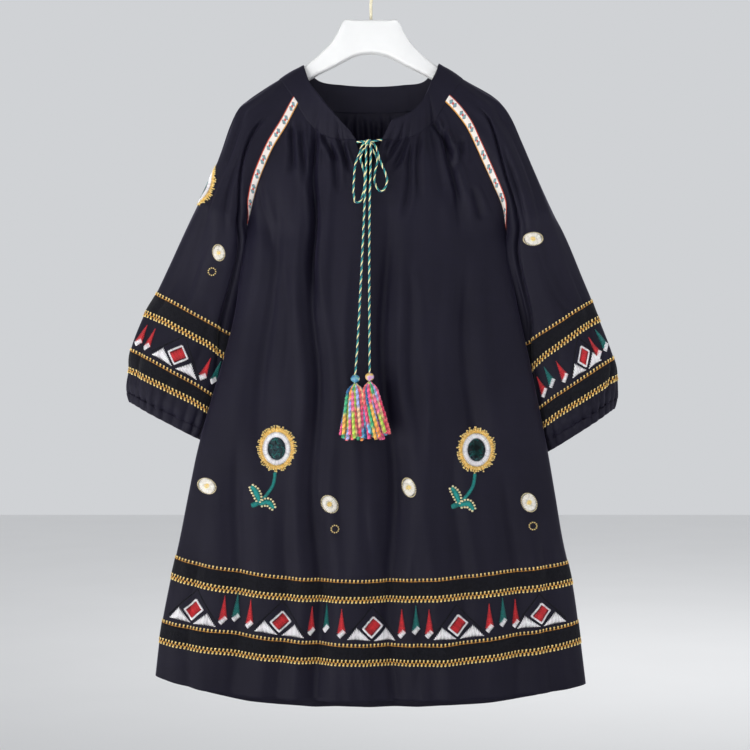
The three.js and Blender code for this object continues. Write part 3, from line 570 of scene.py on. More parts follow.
def piece(name, points, faces, material, uv=None, tint=None):
    """A mesh object from points in millimetres and arrays of faces, each with its own number of
    corners; uv and tint are by point."""
    faces = faces if isinstance(faces, list) else [faces]
    points = in_metres(np.asarray(points).reshape(-1, 3))
    corners = np.concatenate([f.ravel() for f in faces]).astype(np.int32)
    sizes = np.concatenate([np.full(len(f), f.shape[1]) for f in faces])
    starts = np.append(0, np.cumsum(sizes)[:-1]).astype(np.int32)
    mesh = bpy.data.meshes.new(name)
    mesh.vertices.add(len(points))
    mesh.vertices.foreach_set("co", points.astype(np.float32).ravel())
    mesh.loops.add(len(corners))
    mesh.loops.foreach_set("vertex_index", corners)
    mesh.polygons.add(len(sizes))
    mesh.polygons.foreach_set("loop_start", starts)
    mesh.polygons.foreach_set("use_smooth", np.ones(len(sizes), bool))
    if uv is not None:
        layer = mesh.uv_layers.new(name="run")
        by_corner = np.asarray(uv).reshape(-1, 2)[corners]
        layer.data.foreach_set("uv", by_corner.astype(np.float32).ravel())
    if tint is not None:
        colour = np.ones((len(points), 4), np.float32)
        colour[:, :3] = np.asarray(tint).reshape(-1, 3)
        layer = mesh.attributes.new("tint", "FLOAT_COLOR", "POINT")
        layer.data.foreach_set("color", colour.ravel())
    mesh.update(calc_edges=True)
    mesh.materials.append(material)
    made = bpy.data.objects.new(name, mesh)
    bpy.context.scene.collection.objects.link(made)
    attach(made, "root")
    return made


def wall_piece(name, cloth, material, outside=0.0, inside=-CLOTH, keep=None):
    """A wall of cloth between two copies of a panel's points, moved along its normals. Where the
    panel is welded its last column is its first. keep drops cells."""
    points, normals = cloth.points, cloth.normals
    ids = np.arange(points.shape[0] * points.shape[1]).reshape(points.shape[:2])
    if cloth.welded is not None:
        ids[cloth.welded, -1] = ids[cloth.welded, 0]
    quads = grid_faces(ids, cloth.facing)
    if keep is not None:
        quads = quads[keep.ravel()]
    both = np.stack([points + normals * outside, points + normals * inside]).reshape(-1, 3)
    used, faces = np.unique(closed_wall(quads, ids.size), return_inverse=True)
    return piece(name, both[used], faces.reshape(-1, 4), material)


def frames(path):
    """Directions across a path that twist as little as they can, carried on from the first."""
    along = np.gradient(path, axis=0)
    along /= np.linalg.norm(along, axis=1, keepdims=True)
    side = np.cross(along[0], (0.31, 0.9, 0.27))
    sides = []
    for way in along:
        side = side - way * np.dot(side, way)
        side = side / np.linalg.norm(side)
        sides.append(side)
    sides = np.array(sides)
    return sides, np.cross(along, sides)


def rope(path, radius, lobes, columns, pitch, groove=0.3, start=0.0):
    """Twisted strands along a path: the section's radius is radius * (1 - groove + groove *
    |cos(lobes * angle / 2)|) and it turns once in lobes times the pitch. Both ends are closed."""
    side, other = frames(path)
    gone = lengths(path)
    angle = np.arange(columns) * 2 * np.pi / columns
    out = 1 - groove + groove * np.abs(np.cos(lobes * angle / 2))
    turn = angle + (gone / (lobes * pitch) * 2 * np.pi + start)[:, None]
    radius = np.broadcast_to(radius, gone.shape)[:, None] * out
    ring = side[:, None] * np.cos(turn)[..., None] + other[:, None] * np.sin(turn)[..., None]
    points = (path[:, None] + ring * radius[..., None]).reshape(-1, 3)
    strand = np.floor(angle * lobes / (2 * np.pi) + 0.5).astype(int) % lobes
    return points, tube_faces(len(path), columns, -1), np.tile(strand, len(path)), gone


def joined(parts):
    """Several (points, faces, tint, uv) as one, with their faces renumbered and grouped by size."""
    offset = 0
    by_size = {}
    for points, faces, *_ in parts:
        for group in faces:
            by_size.setdefault(group.shape[1], []).append(group + offset)
        offset += len(points)
    faces = [np.concatenate(groups) for groups in by_size.values()]
    points, tint, uv = (np.concatenate([part[i] for part in parts]) for i in (0, 2, 3))
    return points, faces, tint, uv


def spline(points, step):
    """Even points along a smooth curve through a few: cubic pieces by chord length."""
    points = np.array(points, float)
    keys = np.append(0, np.cumsum(np.sqrt(np.linalg.norm(np.diff(points, axis=0), axis=1))))
    fine = np.linspace(0, keys[-1], 60 * len(points))
    line = np.stack([through(keys, column, fine) for column in points.T], axis=1)
    whole = lengths(line)[-1]
    return along_path(line, np.linspace(0, whole, max(4, int(whole / step)) + 1))


# ---- finishes ----------------------------------------------------------------------------------


class Number:
    """A shader's number or colour, which adds a Math node for each operation in an expression."""

    def __init__(self, finish, socket):
        self.finish, self.socket = finish, socket

    def maths(self, operation, *values):
        return self.finish.node("Math", {"operation": operation}, list(values))

    def __add__(self, other):
        return self.maths("ADD", self, other)

    __radd__ = __add__

    def __mul__(self, other):
        return self.maths("MULTIPLY", self, other)

    __rmul__ = __mul__

    def __sub__(self, other):
        return self.maths("SUBTRACT", self, other)

    def __rsub__(self, other):
        return self.maths("SUBTRACT", other, self)

    def __truediv__(self, other):
        return self.maths("DIVIDE", self, other)

    def ridges(self, pitch):
        """From 0 to 1 and back, once in each pitch: half a sine plus a half."""
        return self.maths("SINE", self * (2 * math.pi / pitch)) * 0.5 + 0.5

    def size(self):
        return self.maths("ABSOLUTE", self)

    def part(self):
        return self.maths("FRACT", self)

    def below(self, limit):
        return self.maths("LESS_THAN", self, limit)

    def least(self, other):
        return self.maths("MINIMUM", self, other)

    def most(self, other):
        return self.maths("MAXIMUM", self, other)


class Finish:
    """A material with one Principled shader, whose plain values are set on its own sockets."""

    def __init__(self, name, **plain):
        self.material = bpy.data.materials.new(name)
        self.material.use_nodes = True
        self.tree = self.material.node_tree
        self.shader = self.tree.nodes["Principled BSDF"]
        for key, value in plain.items():
            self.feed(self.shader.inputs[self.label(key)], value)

    @staticmethod
    def label(key):
        """A socket's label on the shader, from its name in lower case."""
        return key.replace("_", " ").title().replace("Ior", "IOR")

    def node(self, kind, settings=None, values=None, output=0):
        """Any node: its settings first, then its sockets' values or links, by name or place."""
        made = self.tree.nodes.new("ShaderNode" + kind)
        for key, value in (settings or {}).items():
            if key == "stops":
                self.stops(made.color_ramp, value)
            else:
                setattr(made, key, value)
        pairs = values.items() if isinstance(values, dict) else enumerate(values or [])
        for key, value in pairs:
            self.feed(made.inputs[key], value)
        return Number(self, made.outputs[output])

    def feed(self, socket, value):
        """Link a number to a socket, or set a plain value on it."""
        if isinstance(value, Number):
            self.tree.links.new(value.socket, socket)
        elif isinstance(value, tuple) and len(value) == 3 and socket.type == "RGBA":
            socket.default_value = (*value, 1)
        else:
            socket.default_value = value

    def stops(self, ramp, stops):
        """Places and colours of a colour ramp."""
        while len(ramp.elements) < len(stops):
            ramp.elements.new(0.5)
        for element, (place, colour) in zip(ramp.elements, stops):
            element.position, element.color = place, (*colour, 1)

    def coordinates(self, scale=(1, 1, 1)):
        """Object coordinates, scaled."""
        source = self.node("TexCoord", output="Object")
        return self.node("Mapping", {}, {"Vector": source, "Scale": scale})

    def run(self):
        """The piece's own UV map as two numbers."""
        split = self.node("SeparateXYZ", {}, [self.node("UVMap", {"uv_map": "run"})])
        return split, Number(self, split.socket.node.outputs[1])

    def noise(self, where, scale, detail=2.0):
        """Soft clouds from 0 to 1, so many to a metre."""
        return self.node("TexNoise", {}, {"Vector": where, "Scale": scale, "Detail": detail})

    def mix(self, share, first, second):
        """Colour that goes from the first to the second as the share goes from 0 to 1."""
        return self.node("Mix", {"data_type": "RGBA"}, {0: share, 6: first, 7: second}, output=2)

    def tint(self):
        """The colour that each point of the mesh holds."""
        return self.node("Attribute", {"attribute_name": "tint", "attribute_type": "GEOMETRY"})

    def shade(self, colour, share):
        """A colour times a number."""
        return self.node("VectorMath", {"operation": "SCALE"}, {0: colour, "Scale": share})

    def relief(self, height, distance, strength=1.0, under=None):
        """Normal of a surface with a height from 0 to 1 times a distance in metres, over another."""
        values = {"Height": height, "Distance": distance, "Strength": strength}
        if under is not None:
            values["Normal"] = under
        return self.node("Bump", {}, values)

    def done(self, **linked):
        """The material, with numbers linked to its shader's sockets."""
        for key, value in linked.items():
            self.feed(self.shader.inputs[self.label(key)], value)
        return self.material


def threads(finish, where, axis, pitch):
    """Height of parallel threads across an axis of Object coordinates: one sine to a thread."""
    return finish.node("SeparateXYZ", {}, [where], output=axis).ridges(pitch)


WEAVE_PITCH = 0.00085  # metres from thread to thread
RIBBON_REPEAT = 0.0202
RIBBON_RIB = 0.0009
RIBBON_ROWS = 13
STITCH_PITCH = 0.00052


def woven_cloth():
    """Fine plain weave in navy: warp and weft threads, slubs, a soft sheen."""
    f = Finish("navy_woven_cloth", roughness=0.6, sheen_weight=0.15, sheen_roughness=0.32,
               sheen_tint=(0.6, 0.52, 0.9, 1), specular_ior_level=0.19)
    where = f.coordinates()
    warp = threads(f, where, "X", WEAVE_PITCH)
    weft = threads(f, where, "Z", WEAVE_PITCH)
    slub = f.noise(f.coordinates((900, 900, 14)), 1.0, 2.0)
    weft_slub = f.noise(f.coordinates((16, 16, 800)), 1.0, 2.0)
    cloud = f.noise(where, 9.0, 3.0)
    shade = (slub + weft_slub) * 0.34 + cloud * 0.3 + 0.5
    colour = f.mix(cloud, (0.0056, 0.0046, 0.0130), (0.0078, 0.0066, 0.0172))
    weave = f.relief(warp.most(weft) + (slub + weft_slub) * 0.5, 0.00012, 0.5)
    puckers = f.relief(f.noise(f.coordinates((60, 60, 34)), 1.0, 3.0), 0.0012, 0.35, weave)
    return f.done(base_color=f.shade(colour, shade), roughness=0.72 - cloud * 0.2, normal=puckers)


def stitched_ground():
    """Closely stitched black ground: short matt loops."""
    f = Finish("black_stitched_ground", roughness=0.85, sheen_weight=0.07, sheen_roughness=0.5,
               specular_ior_level=0.1)
    where = f.coordinates()
    loops = f.node("TexVoronoi", {}, {"Vector": f.coordinates((1, 1, 2.2)), "Scale": 620.0})
    crumb = f.noise(where, 240.0, 4.0)
    lift = f.relief(crumb - loops * 0.8, 0.0007, 0.8)
    colour = f.mix(crumb, (0.0030, 0.0030, 0.0045), (0.013, 0.013, 0.018))
    return f.done(base_color=colour, normal=lift)


def jacquard_ribbon():
    """Woven ribbon by its own run: u across from 0 to 1, v along in metres. A cream ground with a
    red line along the outer edge, a yellow one along the inner, and pairs of teal lozenges with a
    red heart between them."""
    f = Finish("jacquard_ribbon", roughness=0.6, sheen_weight=0.2, specular_ior_level=0.3)
    u, v = f.run()
    step = (v / RIBBON_REPEAT).part()
    across = (u - 0.5).size()
    pair = (step - 0.34).size().least((step - 0.66).size())
    shape = pair * 5.2 + across * 2.3
    lozenge = shape.below(0.80)
    inside = shape.below(0.6)
    heart = ((step - 0.5).size() * 8.0 + across * 4.0).below(0.72)
    edge = f.mix(u.below(0.115), (0.92, 0.86, 0.80), (0.62, 0.07, 0.03))
    edge = f.mix((1 - u).below(0.13), edge, (0.75, 0.34, 0.04))
    pattern = f.mix(lozenge, edge, (0.30, 0.15, 0.15))
    pattern = f.mix(inside, pattern, (0.17, 0.38, 0.41))
    pattern = f.mix(heart, pattern, (0.60, 0.06, 0.05))
    ribs = v.ridges(RIBBON_RIB)
    rows_across = u.ridges(1 / RIBBON_ROWS)
    weave = f.relief(ribs + rows_across * 0.6 + (1 - across * 2) * 0.3, 0.00018, 0.8)
    # The pattern is darkened in the valleys between the ribs and rows and lightened on their tops: painted
    # shade of the weave.
    shade = ribs * 0.14 + rows_across * 0.08 + 0.84
    return f.done(base_color=f.shade(pattern, shade), normal=weave)


def stitch_thread():
    """Glossy embroidery thread in each stitch's own tint; the threads lie across the run's u, in
    metres."""
    f = Finish("embroidery_thread", roughness=0.42, sheen_weight=0.1, specular_ior_level=0.45)
    u, _ = f.run()
    waver = f.noise(f.coordinates(), 900.0, 1.0)
    ply = (u + waver * 0.0002).ridges(STITCH_PITCH)
    lift = f.relief(ply, 0.00016, 0.55)
    # The tint is darkened between the threads and lightened on their crests by ply: painted shade of the
    # satin threads, with a random waver on top.
    colour = f.shade(f.tint(), ply * 0.22 + waver * 0.16 + 0.82)
    return f.done(base_color=colour, normal=lift)


def soft_yarn():
    """Fuzzy yarn in each strand's own tint."""
    f = Finish("twisted_yarn", roughness=0.75, sheen_weight=0.5, sheen_roughness=0.4,
               specular_ior_level=0.25)
    fuzz = f.noise(f.coordinates(), 1500.0, 3.0)
    colour = f.shade(f.tint(), fuzz * 0.5 + 0.88)
    return f.done(base_color=colour, normal=f.relief(fuzz, 0.0003, 0.7))


def marbled_bead(name, stops):
    """Glazed bead with soft clouds of colour."""
    f = Finish(name, roughness=0.12, coat_weight=0.6, coat_roughness=0.05)
    cloud = f.noise(f.coordinates(), 130.0, 1.5)
    ramp = f.node("ValToRGB", {"stops": stops}, [cloud])
    return f.done(base_color=ramp)


def moulded_hanger():
    """Satin white moulding with a faint mottle."""
    f = Finish("satin_white_moulding", roughness=0.38, specular_ior_level=0.45)
    mottle = f.noise(f.coordinates(), 60.0, 3.0)
    fine = f.noise(f.coordinates(), 1800.0, 2.0)
    colour = f.mix(mottle, (0.79, 0.79, 0.78), (0.84, 0.84, 0.83))
    grain = f.relief(fine, 0.00005, 0.4)
    return f.done(base_color=colour, roughness=0.30 + mottle * 0.16, normal=grain)


def painted_wire():
    """Cream enamel on wire."""
    f = Finish("cream_enamelled_wire", roughness=0.3, coat_weight=0.3)
    spots = f.noise(f.coordinates(), 300.0, 3.0)
    colour = f.mix(spots, (0.76, 0.68, 0.46), (0.84, 0.78, 0.58))
    return f.done(base_color=colour, roughness=0.24 + spots * 0.2)


def pale_floor():
    """Matt pale floor."""
    f = Finish("pale_floor", roughness=0.9, specular_ior_level=0.1)
    cloud = f.noise(f.coordinates(), 3.0)
    return f.done(base_color=f.mix(cloud, (0.80, 0.80, 0.80), (0.83, 0.83, 0.83)))


CLOTH_FINISH = woven_cloth()
GROUND_FINISH = stitched_ground()
RIBBON_FINISH = jacquard_ribbon()
THREAD_FINISH = stitch_thread()
YARN_FINISH = soft_yarn()

# ---- camera and light --------------------------------------------------------------------------


def look_from(x, y, z):
    """Camera level with the blouse's middle, looking along +y. The frame's width at y = 0 is that
    of its pixels at PHOTO_MM."""
    lens = bpy.data.cameras.new("camera")
    lens.sensor_width = SENSOR
    lens.lens = SENSOR * CAMERA_BACK / (FRAME_PIXELS * PHOTO_MM)
    camera = bpy.data.objects.new("camera", lens)
    camera.location = (x, y, z)
    camera.rotation_euler = (math.pi / 2, 0, 0)
    bpy.context.scene.collection.objects.link(camera)
    bpy.context.scene.camera = camera


def soft_light(name, place, size, power, colour=(1, 1, 1)):
    """Square lamp at a place that faces the blouse's middle."""
    lamp = bpy.data.lights.new(name, "AREA")
    lamp.size, lamp.energy, lamp.color = size, power, colour
    made = bpy.data.objects.new(name, lamp)
    made.location = place
    way = np.subtract(MIDDLE, place)
    tip = math.acos(-way[2] / np.linalg.norm(way))
    made.rotation_euler = (tip, 0, math.atan2(way[0], -way[1]))
    bpy.context.scene.collection.objects.link(made)


MIDDLE = (0, 0, -0.5)
look_from(CAMERA_X * METRES, -CAMERA_BACK * METRES, CAMERA_Z * METRES)
soft_light("lamp_key", (-2.1, -2.0, 1.7), 0.9, 1120)
soft_light("lamp_fill", (2.6, -1.4, 0.9), 1.0, 330, (0.95, 0.94, 1.0))
soft_light("lamp_side", (2.8, 0.1, 0.5), 1.0, 130, (0.82, 0.78, 1.0))
soft_light("lamp_back", (0.8, 2.4, 1.2), 1.6, 40)
world = bpy.data.worlds.new("studio")
world.use_nodes = True
background = world.node_tree.nodes["Background"].inputs
background["Color"].default_value = (0.9, 0.92, 0.95, 1)
background["Strength"].default_value = 0.7
bpy.context.scene.world = world
bpy.context.scene.view_settings.view_transform = "Standard"

FLOOR_Z = -1.45
FLOOR_HALF = 9.0
square = [(-1, -1), (1, -1), (1, 1), (-1, 1)]
floor_mesh = bpy.data.meshes.new("floor")
corners = [(x * FLOOR_HALF, y * FLOOR_HALF, FLOOR_Z) for x, y in square]
floor_mesh.from_pydata(corners, [], [(0, 1, 2, 3)])
floor_mesh.materials.append(pale_floor())
floor = bpy.data.objects.new("floor", floor_mesh)
bpy.context.scene.collection.objects.link(floor)

# ---- tie ---------------------------------------------------------------------------------------

CORD_COLOURS = np.array([[0.95, 0.82, 0.42], [0.02, 0.30, 0.28], [0.008, 0.09, 0.14]])
# Route of each cord: the bridge from the collar, the bow's loop, and the tail into the tassel.
TIE = {
    "left": [
        (-18.4, -38.8, -168.7), (-14.5, -41.5, -168.3), (-10.2, -44.5, -168.9), (-6.4, -46, -169.7),
        (-6.4, -46.8, -170.5), (-10.6, -47.6, -172.7), (-14.8, -49.3, -184.5), (-20.3, -49.5, -198.5),
        (-22.2, -49.5, -216.5), (-22.8, -49.5, -236.2), (-20.3, -49.5, -249.4), (-14.5, -49.5, -248.8),
        (-10.9, -49.8, -240.2), (-8.4, -50, -227.2), (-8.2, -50, -214.5), (-10.6, -50.5, -203.5),
        (-13.6, -53.5, -193.5), (-12.4, -53, -186.5), (-9.2, -50.6, -179.5), (-6.4, -46, -177),
        (-5.8, -47, -172), (-5.6, -49.7, -172.5), (-6.4, -52.4, -176.5), (-6.3, -54.8, -186.5),
        (-6.4, -55.5, -206.5), (-7.8, -56, -240.2), (-9.2, -57, -272.6),
        (-12, -59, -332.8), (-15.5, -62, -400.6), (-18.4, -64.5, -450), (-20.3, -65.9, -477),
        (-20.5, -66, -490), (-21.1, -66, -512),
    ],
    "right": [
        (14.4, -39, -165.7), (9.5, -42, -166.7), (3.5, -45, -168.3), (-0.4, -46, -169.7),
        (-0.4, -46.8, -170.5), (3.8, -47.5, -172.5), (7.4, -49.3, -178.5), (12, -49.5, -194.1),
        (18.9, -49.5, -210.3), (21.3, -49.5, -218.5), (19.8, -49.5, -228.2), (13.5, -49.5, -235.2),
        (7.1, -49.5, -229.2), (4.6, -49.8, -218.5), (6.3, -50, -204.9), (8.4, -49.5, -196.5),
        (6.2, -47.6, -186.5), (1, -45.4, -178), (-0.6, -47, -172), (-1, -49.7, -172.5),
        (-0.3, -52.4, -176.5), (-0.2, -54.8, -186.5), (-0.6, -55.5, -206.5), (-1.4, -56, -240.2),
        (-1.9, -57, -272.6), (-2.2, -59, -332.8), (-2, -62, -400.6), (-1.7, -64.5, -450),
        (-1.7, -65.9, -474.5), (-1.7, -66, -488), (0.1, -66, -510),
    ],
}
CORD_WIDTH = 2.9
CORD_STRANDS = 3
CORD_REPEAT = 12.0  # length of one turn of the cord's strands
KNOT = (-3.4, -46.5, -169.9)
BEAD_RADIUS = 6.0
BEAD_FLAT = 0.9
# Tassels: middle, height of the bead's centre, top and bottom of the yarns, lean of the bottom,
# spread.
TASSELS = {
    "left": {
        "x": -20.5, "y": -66, "bead": -482.8, "top": -489.4, "low": -565, "lean": -3.8, "spread": 17,
    },
    "right": {
        "x": -1.7, "y": -66, "bead": -480.3, "top": -486.9, "low": -563, "lean": 11.2, "spread": 15,
    },
}
TASSEL_SEEDS = {"left": 1, "right": 2}
YARNS = 30
YARN_POINTS = 9  # along a yarn, before it is smoothed
YARN_SIDES = 8
YARN_PLIES = 2
GOLDEN_ANGLE = 2.39996
YARN_COLOURS = np.array([
    [1.0, 0.20, 0.36], [1.0, 0.55, 0.12], [0.20, 0.60, 0.85], [0.80, 0.06, 0.15],
    [0.56, 0.75, 0.12], [1.0, 0.38, 0.10], [0.02, 0.15, 0.36], [0.98, 0.18, 0.20],
    [0.45, 0.52, 0.92], [0.08, 0.50, 0.24], [0.95, 0.12, 0.30], [1.0, 0.66, 0.36],
])


def strands(path, radius, lobes, columns, pitch, colours, groove=0.4):
    """A rope with its points' tints, as a part for joined()."""
    points, faces, strand, _ = rope(path, radius, lobes, columns, pitch, groove)
    tint = np.asarray(colours)[strand % len(colours)]
    return points, faces, tint, np.zeros((len(points), 2))


def tie_cord(path):
    """The tie's cord along a path, in strands of its three colours."""
    return strands(path, CORD_WIDTH / 2, CORD_STRANDS, 18, CORD_REPEAT / CORD_STRANDS, CORD_COLOURS)


def ball(radius, flat, columns=32, rings=20):
    """Points and faces of a ball about the origin: rings at even angles, its height flattened."""
    round_it = np.arange(columns) * 2 * np.pi / columns
    turn, down = np.meshgrid(round_it, np.linspace(0, np.pi, rings + 1)[1:-1])
    across = np.sin(down)
    points = np.stack([across * np.cos(turn), across * np.sin(turn), np.cos(down) * flat], axis=-1)
    return points.reshape(-1, 3) * radius, tube_faces(rings - 1, columns, 1)


def yarns(spec, seed):
    """Tassel: yarns that leave a narrow neck, swing out and end ragged. A yarn's distance from the
    middle is its own share of the spread times (way down) ** 0.32."""
    rng = np.random.default_rng(seed)
    parts = []
    down = np.linspace(0, 1, YARN_POINTS)
    for k in range(YARNS):
        turn = k * GOLDEN_ANGLE
        share = math.sqrt((k + 0.5) / YARNS)
        length = (spec["top"] - spec["low"]) * rng.uniform(0.86, 1.0)
        swell = down**0.32 * spec["spread"] * share + share
        swell = swell + rng.normal(0, 0.35, YARN_POINTS) * down
        path = np.stack([
            spec["x"] + spec["lean"] * down**1.3 + np.cos(turn + 0.5 * down) * swell,
            spec["y"] + 0.55 * np.sin(turn + 0.5 * down) * swell,
            spec["top"] - length * down,
        ], axis=1)
        path = spline(path, 1.5)
        thick = np.interp(np.linspace(0, 1, len(path)), (0, 0.2, 1), (1.3, 2.5, 2.7))
        dyes = YARN_COLOURS[(k * 5 + seed + np.array([0, 3, 7])) % len(YARN_COLOURS)]
        points, faces, strand, gone = rope(path, thick, YARN_PLIES, YARN_SIDES, 3.8, 0.45, turn)
        way = np.repeat(gone / gone[-1], YARN_SIDES) + rng.uniform(-0.16, 0.16)
        tint = [np.interp(way, (0.28, 0.36, 0.64, 0.72), dyes[[0, 1, 1, 2], c]) for c in range(3)]
        # Every other ply is darkened to 0.6 of its tint: painted shade that makes the twist show, as both
        # plies carry the same dyes.
        tint = np.stack(tint, axis=1) * np.where(strand % 2 == 0, 1.0, 0.6)[:, None]
        parts.append((points, faces, tint, np.zeros((len(points), 2))))
    wrap = np.linspace(0, 3 * 2 * np.pi, 48)
    neck = np.stack([
        spec["x"] + 2.2 * np.cos(wrap),
        spec["y"] + 2.2 * np.sin(wrap),
        spec["top"] - 0.8 - wrap / 18.8 * 3.4,
    ], axis=1)
    binding = [YARN_COLOURS[4], YARN_COLOURS[9]]
    parts.append(strands(spline(neck, 1.2), 1.2, YARN_PLIES, YARN_SIDES, 2.6, binding, 0.35))
    return joined(parts)


BEAD_FINISHES = {
    "left": marbled_bead("marbled_bead_teal", [
        (0.34, (0.02, 0.16, 0.20)), (0.48, (0.08, 0.26, 0.50)), (0.60, (0.20, 0.55, 0.40)),
        (0.72, (0.9, 0.75, 0.7)),
    ]),
    "right": marbled_bead("marbled_bead_rose", [
        (0.30, (0.62, 0.16, 0.40)), (0.45, (0.60, 0.44, 0.70)), (0.55, (0.85, 0.55, 0.12)),
        (0.7, (0.9, 0.72, 0.25)),
    ]),
}


def tie_side(side, with_pieces):
    """One end of the tie: a twisted cord from the collar through the knot, round its loop, and
    down to a bead and a tassel."""
    path = spline(TIE[side], 0.9)
    points, faces, tint, uv = tie_cord(path)
    cord = piece("tie_cord_" + side, points, faces, YARN_FINISH, uv, tint)
    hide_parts("tie_bridge_" + side, "tie_loop_" + side, "tie_tail_" + side)
    spec = TASSELS[side]
    points, faces = ball(BEAD_RADIUS, BEAD_FLAT)
    points = points + (spec["x"], spec["y"], spec["bead"])
    bead = piece("bead_glazed_" + side, points, faces, BEAD_FINISHES[side])
    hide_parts("bead_" + side)
    points, faces, tint, uv = yarns(spec, TASSEL_SEEDS[side])
    tassel = piece("tassel_yarns_" + side, points, faces, YARN_FINISH, uv, tint)
    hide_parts("tassel_" + side)


def tie_knot():
    """The knot: two and a half wraps of the cord, flattened and side by side."""
    turns = np.linspace(-0.25, 2.25, 60)
    wrap = np.stack([
        KNOT[0] - 3.0 + 2.4 * turns,
        KNOT[1] - 3.3 * np.cos(turns * 2 * np.pi),
        KNOT[2] + 2.5 * np.sin(turns * 2 * np.pi),
    ], axis=1)
    points, faces, tint, uv = tie_cord(spline(wrap, 0.8))
    knot = piece("tie_knot_wraps", points, faces, YARN_FINISH, uv, tint)
    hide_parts("tie_knot")
    return knot


tie_side("left", [tie_knot()])
tie_side("right", [])

# ---- cloth -------------------------------------------------------------------------------------

HEM_REACH = -900  # creases that end below this height run out at the hem
CUFF_PLEATS = 24
GATHER = 6.2  # height of the pleats at the cuff
FRONT_HALF = 84  # columns from the centre front, or the slit, to a side
BACK_HALF = 66
SLEEVE_COLUMNS = 182
FRONT_STEPS = 12  # rows of the grid to a row of the tables
BACK_STEPS = 10


def crease_height(creases, x, z, seed):
    """Depth of the straight creases at places in the picture plane: each a soft trough with a
    crisper core and low rolls on both sides, that wavers and fades at its ends."""
    height = 0 * x
    for k, (x0, z0, x1, z1, half, depth) in enumerate(zip(*creases.values())):
        run = math.hypot(x1 - x0, z1 - z0)
        way = ((x - x0) * (x1 - x0) + (z - z0) * (z1 - z0)) / run
        off = ((x - x0) * (z1 - z0) - (z - z0) * (x1 - x0)) / run
        off = off + half * 0.28 * np.sin(way / (2.6 * half) + 1.3 * k + seed)
        wide = half * (0.8 + 0.5 * np.clip(way / run, 0, 1))
        rolls = bump(np.abs(off) - wide * 1.2, wide * 0.7)
        shape = 0.7 * bump(off, wide) + 0.4 * bump(off, wide * 0.45) - 0.3 * rolls
        end = 3 * run if z1 < HEM_REACH else run
        height = height - depth * shape * fade(way, -0.08 * run, end, 0.3 * run)
    return height


def body_height(face):
    """Height of the front's or the back's folds: the creases, long soft waves and fine ones, all
    fading out beside the seams. The back's are weaker at the hem."""
    def height(u, t, base):
        x, z = base[..., 0], base[..., 2]
        creases = FRONT_CREASES if face == "front" else BACK_CREASES
        hem = 1 if face == "front" else 1 - 0.65 * np.clip((t - 17) / 3, 0, 1)
        soft = 1.5 * ripple(x / 27, z / 120, 2.0 if face == "front" else 5.0)
        fine = 0.35 * ripple(x / 7, z / 26, 1.0)
        margin = fade(1 - np.abs(u), 0, 9, 0.05)
        return ((crease_height(creases, x, z, 0.0) + soft) * hem + fine) * margin
    return height


def cuff_pleats(v, t):
    """Round pleats with sharp valleys between them, from 0 to 1, uneven in depth."""
    fold = np.abs(np.sin(CUFF_PLEATS / 2 * v * np.pi + 1.1 * ripple(v * 5, t * 0.6, 3.0)))
    return fold**0.7 * (0.68 + 0.32 * np.sin(5 * v * np.pi + 1.3))


def sleeve_height(side):
    """Height of a sleeve's folds: creases that wander round it, soft waves round it, and the pleats
    that rise towards the cuff. The first two fade out beside the raglan seams."""
    def height(v, t, base):
        turn = v * 180
        deep = 0 * v
        for k, (a, b, top, low, half, depth) in enumerate(zip(*SLEEVE_CREASES.values())):
            way = np.clip((t - top) / (low - top), 0, 1)
            off = turn - (a + (b - a) * way) - 7 * np.sin(t * 1.1 + 2.0 * k + SIGN[side])
            off = (off + 180) % 360 - 180
            shape = 0.75 * bump(off, half) + 0.35 * bump(off, half * 0.45)
            deep = deep + depth * shape * fade(t, top, low, 1.6)
        margin = fade(1 - np.abs(v), 0, 9, 0.1)
        margin = margin + (1 - margin) * np.clip((t - UNDERARM) / 1.6, 0, 1)
        gather = GATHER * np.clip((t - 12.9) / 2.8, 0, 1) ** 1.1 * cuff_pleats(v, t)
        soft = np.sin(2 * v * np.pi + SIGN[side]) * 0.5 + np.sin(5 * v * np.pi + t) * 0.25
        soft = soft + 0.5 * np.sin(9 * v * np.pi + 2.3 * np.sin(0.8 * t))
        return (soft * np.clip(t / 3, 0, 1) - deep) * margin + gather
    return height


def crowd(steps, power=0.75):
    """Even steps from 0 to 1 that close up towards 1."""
    return 1 - (1 - np.linspace(0, 1, steps + 1)) ** (1 / power)


def even_rows(last, steps):
    """Rows of a grid: so many to each row of the tables."""
    return np.linspace(0, last, last * steps + 1)


half_way = crowd(FRONT_HALF)
half_way[0] = ALMOST
front_u = np.concatenate([-half_way[::-1], half_way])
half_way = crowd(BACK_HALF)
back_u = np.concatenate([-half_way[::-1], half_way[1:]])
front_t = even_rows(HEM_ROW, FRONT_STEPS)
back_t = even_rows(HEM_ROW, BACK_STEPS)
sleeve_v = np.linspace(-1, 1, SLEEVE_COLUMNS + 1)
sleeve_t = even_rows(CUFF_ROW, FRONT_STEPS)

front = Cloth(partial(body_point, "front"), body_height("front"), front_u, front_t, 1)
back = Cloth(partial(body_point, "back"), body_height("back"), back_u, back_t, -1)
closed_rows = sleeve_t >= UNDERARM - ALMOST
sleeves = {
    side: Cloth(partial(sleeve_point, side), sleeve_height(side), sleeve_v, sleeve_t, SIGN[side],
                closed_rows)
    for side in SIGN
}

open_slit = np.ones((len(front_t) - 1, len(front_u) - 1), bool)
open_slit[front_t[1:] <= SLIT_END + ALMOST, FRONT_HALF] = False


